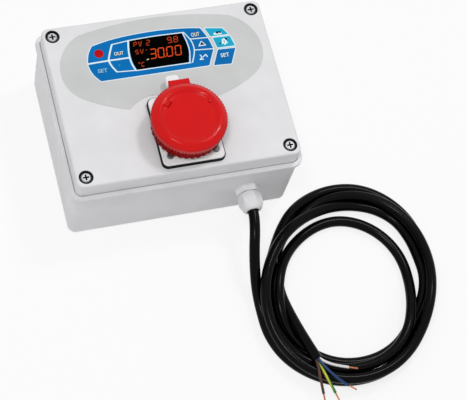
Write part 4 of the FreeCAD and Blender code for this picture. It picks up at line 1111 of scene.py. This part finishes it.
@dataclass
class PrintedPanel:
    """Printed fields, lines and legends of the membrane panel, in mm on the lid.

    Attributes:
        top: height of the film's face.
        ink: thickness of one layer of print.
        sunk: depth of the print's underside under the film's face.
        step: rise from one shape of a print to the next, so that none share a face.
        thin: width of a thin line.
        wide: width of a wide line.
        edging: width of the white edging.
        cast: shift of the dark edge under a word.
        rise: heights of the dark edge and of the word over their layer.
        body: sides of the large blue field.
        upper_mode: corners of the upper cyan key.
        lower_mode: corners of the lower cyan key.
        right_set: corners of the blue key at the right.
    """

    top: float = 107.4
    ink: float = 0.03
    sunk: float = 0.02
    step: float = 0.002
    thin: float = 1.1
    wide: float = 1.7
    edging: float = 0.9
    cast: Flat = (0.35, -0.4)
    rise: Flat = (0.01, 0.03)
    body: tuple[tuple[Flat, ...], ...] = (
        ((-67.0, 21.5), (-73.0, 30.0), (-75.8, 41.0), (-73.3, 53.0), (-68.0, 62.2)),
        ((-68.0, 62.2), (-48.0, 66.4), (-26.0, 68.7), (2.0, 69.6), (28.0, 68.2), (46.4, 65.7)),
        ((46.4, 65.7), (51.4, 53.6), (54.3, 39.8)),
        ((54.3, 39.8), (45.5, 21.7)),
        ((45.5, 21.7), (-67.0, 21.5)),
    )
    upper_mode: tuple[Flat, ...] = ((50.9, 64.9), (69.2, 62.0), (73.6, 54.3), (54.6, 54.6))
    lower_mode: tuple[Flat, ...] = ((56.6, 52.5), (74.9, 52.0), (77.3, 40.2), (58.6, 40.5))
    right_set: tuple[Flat, ...] = ((58.6, 38.2), (77.1, 37.4), (68.6, 20.1), (50.2, 21.0))

    def _level(self, layer: int) -> tuple[float, float]:
        """Give the underside and the top of a layer of print."""
        return self.top - self.sunk, self.top + self.ink * layer

    def _print(self, name: str, outlines: Sequence[Sequence[Flat]], layer: int, finish: Finish) -> None:
        """Print some shapes in one colour.

        Args:
            name: name of the piece.
            outlines: one closed outline for each shape.
            layer: number of the layer of print.
            finish: the ink.
        """
        low, high = self._level(layer)
        parts = [Bench.sheet(f"{name}_{n}", [outline], low, high + self.step * n)
                 for n, outline in enumerate(outlines)]
        Bench.finish(Bench.join(name, parts), finish, Body.BOX, "film")

    @staticmethod
    def _patch(corners: Sequence[Flat], rounding: float) -> list[Flat]:
        """Outline a patch with straight sides.

        Args:
            corners: its corners.
            rounding: radius of the corners.

        Returns:
            The outline.
        """
        return Draw.loop(*zip(corners, [*corners[1:], corners[0]]), corner=rounding)

    def _fields(self) -> None:
        """Print the blue and cyan fields on their white edging."""
        main = Draw.loop(*self.body, corner=0.8)
        columns = [self._patch(shape, 0.9) for shape in (self.upper_mode, self.lower_mode, self.right_set)]
        edging = [Draw.grown(shape, self.edging) for shape in (main, *columns)]
        self._print("panel_edging", edging, 1, WHITE_PRINT)
        self._print("panel_blue", [main, columns[2]], 2, BLUE_PRINT)
        self._print("panel_cyan", columns[:2], 2, CYAN_PRINT)

    def _lines(self) -> None:
        """Print the white lines between the fields."""
        wide = [
            [(-54.8, 43.4), (-51.1, 53.0), (-47.2, 61.4)],
            [(-54.8, 43.4), (-52.6, 36.2), (-48.9, 29.2)],
            [(-29.9, 63.4), (-32.3, 50.0), (-32.4, 37.6), (-29.7, 27.7)],
            [(-76.4, 42.9), (-54.8, 43.4)],
            [(-54.8, 43.4), (-32.6, 43.4)],
        ]
        thin = [
            [(-47.4, 61.1), (-29.8, 62.9)],
            [(-49.1, 29.4), (-30.0, 28.1)],
            [(-30.1, 63.0), (-2.0, 63.9), (28.6, 63.4)],
            [(-29.9, 27.8), (27.0, 27.8)],
            [(27.1, 63.5), (29.3, 50.0), (29.2, 40.0), (26.4, 27.6)],
            [(28.4, 63.4), (33.8, 52.4), (34.3, 41.0), (29.4, 28.2), (28.0, 27.4), (26.4, 27.7)],
            [(33.6, 54.6), (51.4, 53.7)],
            [(34.4, 41.5), (54.4, 39.9)],
        ]
        strokes = [Draw.stroke(line, self.wide) for line in wide]
        strokes += [Draw.stroke(line, self.thin) for line in thin]
        self._print("panel_lines", strokes, 3, WHITE_PRINT)

    def _legends(self) -> None:
        """Print the words on the keys, each over its dark edge."""
        low, high = self._level(3)
        words = [
            ("legend_set_left", "SET", (-63.0, 33.1), 4.2, 10.0, MIST_PRINT),
            ("legend_set_right", "SET", (64.3, 31.0), 4.4, 9.2, WHITE_PRINT),
            ("legend_out_left", "OUT", (-42.6, 49.9), 4.0, 9.8, PALE_PRINT),
            ("legend_out_right", "OUT", (39.8, 59.2), 4.6, 8.8, PALE_PRINT),
        ]
        for name, text, middle, height, width, ink in words:
            aside = (middle[0] + self.cast[0], middle[1] + self.cast[1])
            under = Bench.lettering(f"{name}_shade", text, aside, height, width, low, high + self.rise[0])
            Bench.finish(under, DARK_PRINT, Body.BOX, "film")
            word = Bench.lettering(name, text, middle, height, width, low, high + self.rise[1])
            Bench.finish(word, ink, Body.BOX, "film")

    def _signs(self) -> None:
        """Print the signs: an arrow up, strokes for down, a time bar and a bell."""
        low, high = self._level(3)
        up = self._patch(((39.4, 45.0), (44.0, 51.2), (48.3, 44.9)), 0.9)
        core = self._patch(((41.5, 46.1), (44.1, 49.9), (46.4, 46.0)), 0.4)
        Bench.finish(Bench.sheet("sign_up", [up, core], low, high + 0.02), WHITE_PRINT, Body.BOX, "film")
        self._print("sign_up_core", [Draw.grown(core, 0.1)], 3, INK_PRINT)
        strokes = (
            ((38.8, 35.2), (40.5, 32.1)), ((40.5, 32.1), (37.5, 29.8)), ((37.5, 29.8), (41.7, 29.7)),
            ((41.5, 32.3), (44.9, 34.8)), ((44.9, 34.8), (46.0, 31.6)),
        )
        self._print("sign_down", [Draw.stroke(line, self.thin) for line in strokes], 3, WHITE_PRINT)
        bar = self._patch(((58.5, 55.6), (67.0, 55.2), (67.4, 57.4), (58.8, 58.0)), 0.6)
        self._print("sign_bar", [bar], 3, WHITE_PRINT)
        cells = (
            ((61.4, 56.7), (64.0, 56.5), (64.3, 59.3), (61.8, 59.0)),
            ((64.6, 57.0), (67.2, 56.8), (66.0, 59.4), (64.9, 59.4)),
        )
        self._print("sign_bar_cells", [self._patch(cell, 0.5) for cell in cells], 4, INK_PRINT)
        hood = ((64.0, 44.0), (65.0, 46.2), (65.2, 48.4), (67.6, 50.2), (69.6, 48.0), (70.2, 45.8),
                (71.2, 43.8))
        bell = Draw.loop(hood, (hood[-1], hood[0]), corner=0.3)
        self._print("sign_bell", [bell, Draw.disc((67.5, 43.2), 0.9)], 3, WHITE_PRINT)
        dark = self._patch(((68.6, 50.2), (71.3, 49.9), (71.0, 47.9), (69.4, 48.0)), 0.5)
        clapper = Draw.stroke(((67.2, 48.4), (67.6, 46.6), (67.0, 44.8)), 0.5)
        self._print("sign_bell_dark", [dark, Draw.disc((62.8, 44.8), 0.85, 20), clapper], 4, INK_PRINT)
        self._print("sign_function", [Draw.disc((-45.0, 36.5), 1.0)], 3, FAINT_PRINT)

    def _dot(self) -> None:
        """Make the red indicator: a low domed lens."""
        dome = ((0.0, -self.sunk), (4.7, -self.sunk), (4.75, 0.08), (4.4, 0.2), (3.2, 0.34), (1.6, 0.42),
                (0.0, 0.44))
        profile = [(reach, self.top + rise) for reach, rise in dome]
        dot = Bench.lathe("indicator_lens", profile, (-62.5, 52.8), 56)
        Bench.finish(dot, DOT_RED, Body.BOX, "lamp_red", 40.0)

    def build(self) -> None:
        """Print the whole panel."""
        self._fields()
        self._lines()
        self._legends()
        self._signs()
        self._dot()


@dataclass
class LitDisplay:
    """Dark display lens with its lit segments, in mm on the lid.

    Attributes:
        low: height of the lens's underside.
        high: height of its face.
        slant: sideways lean of the digits for each mm of height.
        sunk: depth of the lit shapes' underside under the face.
        proud: height of their top over the face.
        gap: share of its thickness that a bar keeps clear at each end.
        outline: sides of the lens.
    """

    low: float = 107.38
    high: float = 107.62
    slant: float = 0.16
    sunk: float = 0.02
    proud: float = 0.03
    gap: float = 0.16
    outline: tuple[tuple[Flat, ...], ...] = (
        ((-28.6, 28.5), (-30.8, 38.0), (-31.0, 49.6), (-28.9, 62.4)),
        ((-28.9, 62.4), (-2.0, 63.2), (26.2, 62.8)),
        ((26.2, 62.8), (28.3, 50.0), (28.2, 40.0), (25.4, 28.5)),
        ((25.4, 28.5), (-28.6, 28.5)),
    )

    SEGMENTS = {
        "0": "abcdef", "2": "abged", "3": "abgcd", "8": "abcdefg", "9": "abcdfg", "S": "afgcd", "P": "abefg",
        "C": "adef", "-": "g",
    }

    def _bars(self, sign: str, corner: Flat, width: float, height: float, thick: float) -> list[list[Flat]]:
        """Outline the lit bars of one sign.

        Args:
            sign: the digit or letter.
            corner: its lower left corner.
            width: its width.
            height: its height.
            thick: thickness of a bar.

        Returns:
            One outline for each bar.
        """
        half = thick / 2
        gap = thick * self.gap
        mid = height / 2
        left, right = half, width - half
        ends = {
            "a": ((left, height - half), (right, height - half)), "d": ((left, half), (right, half)),
            "g": ((left, mid), (right, mid)), "f": ((left, mid), (left, height - half)),
            "b": ((right, mid), (right, height - half)), "e": ((left, half), (left, mid)),
            "c": ((right, half), (right, mid)),
        }
        bars = []
        for key in self.SEGMENTS[sign]:
            start, stop = Vector(ends[key][0]), Vector(ends[key][1])
            along = (stop - start).normalized()
            aside = Vector((-along.y, along.x)) * half
            start, stop = start + along * gap, stop - along * gap
            shape = [start, start + along * half + aside, stop - along * half + aside, stop,
                     stop - along * half - aside, start + along * half - aside]
            bars.append([self._leaned(point, corner) for point in shape])
        return bars

    def _leaned(self, point: Vector, corner: Flat) -> Flat:
        """Put a point of a sign on the panel, leaning with its height."""
        return (corner[0] + point.x + self.slant * point.y, corner[1] + point.y)

    def _letter_v(self, corner: Flat, width: float, height: float, thick: float) -> list[list[Flat]]:
        """Outline the letter V as two slanted bars.

        Args:
            corner: its lower left corner.
            width: its width.
            height: its height.
            thick: thickness of a bar.

        Returns:
            One outline for each bar.
        """
        foot = width / 2
        left = [Vector((0.0, height)), Vector((thick, height)), Vector((foot + thick * 0.1, 0.0)),
                Vector((foot - thick * 0.55, 0.0))]
        right = [Vector((width - thick, height)), Vector((width, height)),
                 Vector((foot + thick * 0.75, 0.0)), Vector((foot + thick * 0.2, 0.0))]
        return [[self._leaned(point, corner) for point in shape] for shape in (left, right)]

    def _light(self, name: str, shapes: Iterable[Sequence[Sequence[Flat]]], finish: Finish) -> None:
        """Lay lit shapes on the lens.

        Args:
            name: name of the piece.
            shapes: closed outlines of each shape; one inside another is a hole.
            finish: the light's finish.
        """
        parts = [Bench.sheet(f"{name}_{n}", shape, self.high - self.sunk, self.high + self.proud)
                 for n, shape in enumerate(shapes)]
        Bench.finish(Bench.join(name, parts), finish, Body.BOX, "display_black")

    def build(self) -> None:
        """Make the lens and light its signs."""
        lens = Bench.sheet("display_lens", [Draw.loop(*self.outline, corner=0.9)], self.low, self.high)
        Bench.pick(lens, "FACE", lambda middle, normal: normal.z > 0.9)
        bpy.ops.mesh.inset(thickness=0.25 * MM, depth=0.0)
        bpy.ops.object.mode_set(mode="OBJECT")
        Bench.finish(lens, LENS_BLACK, Body.BOX, "display_black", 20.0)
        big: list[list[Flat]] = []
        for sign, x in (("3", -12.7), ("0", -4.4), ("0", 4.6), ("0", 13.6)):
            big += self._bars(sign, (x, 38.0), 6.9, 11.8, 1.1)
        big.append(Draw.disc((3.4, 38.7), 0.65, 16))
        self._light("digits_large", [[bar] for bar in big], SEGMENT)
        small = self._bars("P", (-26.4, 54.2), 3.9, 6.0, 0.85)
        small += self._letter_v((-21.4, 54.2), 4.0, 6.0, 0.95)
        small += self._bars("S", (-26.4, 45.9), 3.9, 5.0, 0.8)
        small += self._letter_v((-21.4, 45.9), 4.0, 5.0, 0.9)
        small += self._bars("2", (-13.2, 54.0), 4.2, 6.6, 0.9)
        small += self._bars("9", (8.8, 53.3), 4.9, 7.2, 1.0)
        small += self._bars("8", (15.4, 53.2), 4.9, 7.2, 1.0)
        small.append(Draw.disc((14.4, 53.8), 0.55, 14))
        small += self._bars("C", (-23.4, 31.0), 3.8, 5.2, 0.85)
        small += self._bars("-", (-15.6, 47.0), 2.4, 4.4, 0.7)
        self._light("signs_small", [[bar] for bar in small], SMALL_SEGMENT)
        ring = [Draw.disc((-24.6, 35.6), radius, 20) for radius in (1.0, 0.45)]
        self._light("degree_ring", [ring], SMALL_SEGMENT)
        dash = ((-16.4, 37.7), (-13.8, 38.3), (-13.6, 39.0), (-16.0, 38.6))
        self._light("display_mark", [[dash]], PALE_PRINT)


@dataclass
class SocketCap:
    """Moulded marks on the sloped wall of the cap's dish, in mm.

    Attributes:
        axis: place of the socket's axis.
        rim: radius and height of the wall's upper edge.
        foot: radius and height of the wall's lower edge.
        ramp: start and end in degrees of the stretch where a ramp fills the wall's foot.
        past: how far the ramp reaches past the rim and in from the foot.
        mark: place of the round mark, from the axis.
    """

    axis: Flat = (4.0, -46.3)
    rim: Flat = (29.0, 140.0)
    foot: Flat = (26.2, 137.8)
    ramp: Flat = (128.0, 146.0)
    past: Flat = (0.7, 4.2)
    mark: Flat = (24.3, 13.0)

    def _ramp(self) -> bpy.types.Object:
        """Make the ramp that runs from the rim down to the dish's floor."""
        reach = (self.rim[0] + self.past[0], self.foot[0] - self.past[1])
        turns = [math.radians(self.ramp[0] + (self.ramp[1] - self.ramp[0]) * n / 8) for n in range(9)]
        arcs = [[(self.axis[0] + r * math.cos(t), self.axis[1] + r * math.sin(t)) for t in turns]
                for r in reach]
        made = Bench.sheet("cap_ramp", [arcs[0] + arcs[1][::-1]], self.foot[1] - 0.2, self.rim[1] - 0.02)
        # The inner edge of its top goes down to the floor.
        middle = Vector(self.axis)
        Bench.pick(made, "VERT", lambda spot, normal: spot.z > self.rim[1] - 0.1
                   and (spot.xy - middle).length < self.foot[0] - 2.0)
        bpy.ops.transform.translate(value=(0.0, 0.0, (self.foot[1] - self.rim[1] + 0.04) * MM))
        bpy.ops.object.mode_set(mode="OBJECT")
        return made

    def _mark(self) -> bpy.types.Object:
        """Turn the low round mark on the dish's wall."""
        low = self.foot[1] - 0.1
        dome = ((0.0, 0.0), (2.5, 0.0), (2.4, 0.7), (1.9, 1.15), (1.1, 1.4), (0.0, 1.5))
        profile = [(reach, low + rise) for reach, rise in dome]
        place = (self.axis[0] + self.mark[0], self.axis[1] + self.mark[1])
        return Bench.lathe("cap_mark", profile, place, 40)

    def build(self) -> None:
        """Make the marks as one piece of the cap."""
        marks = Bench.join("cap_marks", [self._ramp(), self._mark()])
        Bench.finish(marks, CAP_RED, Body.CAP, "red_plastic", 35.0)


@dataclass
class CadFinishes:
    """Finishes for the CAD nodes that keep their shape.

    Attributes:
        plan: the finish of each node by its name; the key stems share one finish.
    """

    plan: dict[str, Finish] = field(default_factory=lambda: {
        "base_box": BOX_GREY, "front_lid": BOX_GREY, "lid_seal": RUBBER, "lid_screws": HEAD_STEEL_SHADED,
        "screw_washers": CUP_BLACK, "panel_overlay": FILM_GREY, "display_window": LENS_BLACK,
        "display_module": PART_BLACK, "control_board": BOARD, "board_screws": STEEL,
        "switch_bodies": PART_BLACK, "indicator_leds": LAMP_RED, "board_transformer": PART_BLACK,
        "board_relay": PART_BLUE, "board_terminals": PART_GREEN, "din_rail": ZINC, "rail_screws": STEEL,
        "contactor": PART_GREY, "terminal_block": PART_GREY, "socket_gasket": RUBBER,
        "socket_housing": WHITE_MOULDING,
        "socket_sleeve": WHITE_MOULDING, "socket_can": WHITE_MOULDING, "socket_insert": INSERT_GREY,
        "socket_contacts": BRASS, "socket_screws": DULL_STEEL_SHADED, "hinge_pin": STEEL, "socket_cap": CAP_RED,
        "cap_seal": RUBBER, "bayonet_ring": RING_RED, "gland_washer": GLAND_GREY,
        "gland_body": WHITE_MOULDING, "gland_locknut": GLAND_GREY, "gland_seal": RUBBER,
        "gland_nut": GLAND_GREY,
    })

    def dress(self) -> int:
        """Give every node its finish.

        Returns:
            The number of nodes dressed.
        """
        count = 0
        for node in bpy.data.objects:
            finish = self.plan.get(node.name)
            if node.name.startswith("key_stem_"):
                finish = WHITE_MOULDING
            if finish is None or node.type != "MESH":
                continue
            if not node.material_slots:
                node.data.materials.append(None)
            for place in node.material_slots:
                place.material = finish.material()
            count += 1
        return count


@dataclass
class Studio:
    """Camera, soft lights and the pale floor.

    Attributes:
        camera: place of the camera in mm.
        turn: its turn in degrees about X, Y and Z.
        focal: focal length in pixels of the frame.
        frame_width: width of the frame in pixels.
        sensor: width of the camera's sensor in mm.
        sight: distance in metres up to which the camera sees.
        floor_size: length of the floor's side in metres.
        floor_place: middle of the floor in metres, a hair under the part.
        floor_colour: screen colour of the floor.
        floor_white: share of white that the floor shows to a looking ray.
        world_light: strength of the light from all around.
        target: the point in metres that the lamps face.
        lamps: place in metres, side in metres and power in watts of each lamp.
    """

    camera: Spot = (-392.37, -790.77, 1667.43)
    turn: Spot = (25.2916, -9.0223, -14.3428)
    focal: float = 1781.55
    frame_width: float = 467.0
    sensor: float = 36.0
    sight: float = 20.0
    floor_size: float = 8.0
    floor_place: Spot = (0.05, -0.1, -0.0004)
    floor_colour: Colour = (246, 246, 246)
    floor_white: float = 0.8
    world_light: float = 0.53
    target: Spot = (0.05, -0.08, 0.05)
    lamps: dict[str, tuple[Spot, float, float]] = field(default_factory=lambda: {
        "key": ((0.73, 0.44, 1.8), 0.3, 7.5),
        "fill": ((-0.5, -0.35, 1.9), 0.35, 10.0),
    })

    def _camera(self) -> None:
        """Set up the camera at the photograph's viewing angle."""
        Bench.clear()
        bpy.ops.object.camera_add(location=tuple(c * MM for c in self.camera),
                                  rotation=tuple(math.radians(t) for t in self.turn))
        camera = bpy.context.object
        camera.data.sensor_fit = "HORIZONTAL"
        camera.data.sensor_width = self.sensor
        camera.data.lens = self.focal / self.frame_width * self.sensor
        camera.data.clip_end = self.sight
        bpy.context.scene.camera = camera

    @staticmethod
    def _seen(nodes: Nodes) -> Socket:
        """Tell rays that look at the background, straight or by a mirror or glass, from those that light.

        Args:
            nodes: nodes of the floor or of the world.

        Returns:
            A socket that is 1 for a looking ray.
        """
        rays = nodes.tree.nodes.new("ShaderNodeLightPath").outputs
        found = rays["Is Camera Ray"]
        for other in ("Is Glossy Ray", "Is Transmission Ray"):
            found = nodes.add("Math", {0: found, 1: rays[other]}, "Value", operation="MAXIMUM")
        return found

    @staticmethod
    def _show(nodes: Nodes, end: str, share: Socket, lit: Socket, white: Socket) -> None:
        """Show white to looking rays and the lit surface to all others.

        Args:
            nodes: nodes of the floor or of the world.
            end: kind of the output node.
            share: share of the white.
            lit: shader of the lit surface.
            white: shader of the white.
        """
        mixed = nodes.add("MixShader", {"Fac": share, 1: lit, 2: white}, "Shader")
        nodes.fill(nodes.first(end), {"Surface": mixed})

    def _floor(self) -> None:
        """Lay the pale floor, which shows white and keeps a soft shadow."""
        Bench.clear()
        bpy.ops.mesh.primitive_plane_add(size=self.floor_size, location=self.floor_place)
        floor = bpy.context.object
        floor.name = "floor"
        made = bpy.data.materials.new("floor_pale")
        made.use_nodes = True
        nodes = Nodes(made.node_tree)
        lit = nodes.first("BSDF_PRINCIPLED")
        nodes.fill(lit, {
            "Base Color": linear(self.floor_colour), "Roughness": 0.9, "Specular IOR Level": 0.1,
        })
        white = nodes.add("Emission", {"Color": WHITE}, "Emission")
        seen = {0: self._seen(nodes), 1: self.floor_white}
        share = nodes.add("Math", seen, "Value", operation="MULTIPLY")
        self._show(nodes, "OUTPUT_MATERIAL", share, lit.outputs["BSDF"], white)
        floor.data.materials.append(made)

    def _world(self) -> None:
        """Make the surroundings white to look at and soft as a light."""
        world = bpy.data.worlds.new("studio")
        bpy.context.scene.world = world
        world.use_nodes = True
        nodes = Nodes(world.node_tree)
        lit = nodes.first("BACKGROUND")
        nodes.fill(lit, {"Color": WHITE, "Strength": self.world_light})
        white = nodes.add("Background", {"Color": WHITE, "Strength": 1.0}, "Background")
        self._show(nodes, "OUTPUT_WORLD", self._seen(nodes), lit.outputs["Background"], white)

    def _lamp(self, name: str, place: Spot, size: float, power: float) -> None:
        """Hang a square soft light.

        Args:
            name: name of the lamp.
            place: its place in metres.
            size: length of its side in metres.
            power: its power in watts.
        """
        Bench.clear()
        bpy.ops.object.light_add(type="AREA", location=place)
        lamp = bpy.context.object
        lamp.name = name
        lamp.data.shape = "SQUARE"
        lamp.data.size = size
        lamp.data.energy = power
        lamp.rotation_mode = "QUATERNION"
        lamp.rotation_quaternion = (Vector(self.target) - Vector(place)).to_track_quat("-Z", "Y")

    def build(self) -> None:
        """Set up the whole studio."""
        self._camera()
        self._floor()
        self._world()
        for name, (place, size, power) in self.lamps.items():
            self._lamp(name, place, size, power)
        bpy.context.scene.view_settings.view_transform = "Standard"


def main() -> None:
    """Build the pieces in order and report each of them."""
    logging.basicConfig(level=logging.INFO, format="%(message)s")
    Bench.clear()
    Studio().build()
    LOG.info("studio: camera, floor, world and lamps")
    cord = SupplyCord().build()
    LOG.info("cord: %d route points", len(cord.data.splines[0].points))
    cores = BareCores().build()
    LOG.info("cores: %d with bare copper ends", len(cores))
    LOG.info("nodes dressed: %d", CadFinishes().dress())
    PrintedPanel().build()
    LOG.info("panel: fields, lines, legends and signs printed")
    LitDisplay().build()
    LOG.info("display: lens and lit signs")
    SocketCap().build()
    LOG.info("cap: moulded marks")
    Bench.clear()
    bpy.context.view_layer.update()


if __name__ == "__main__":
    main()
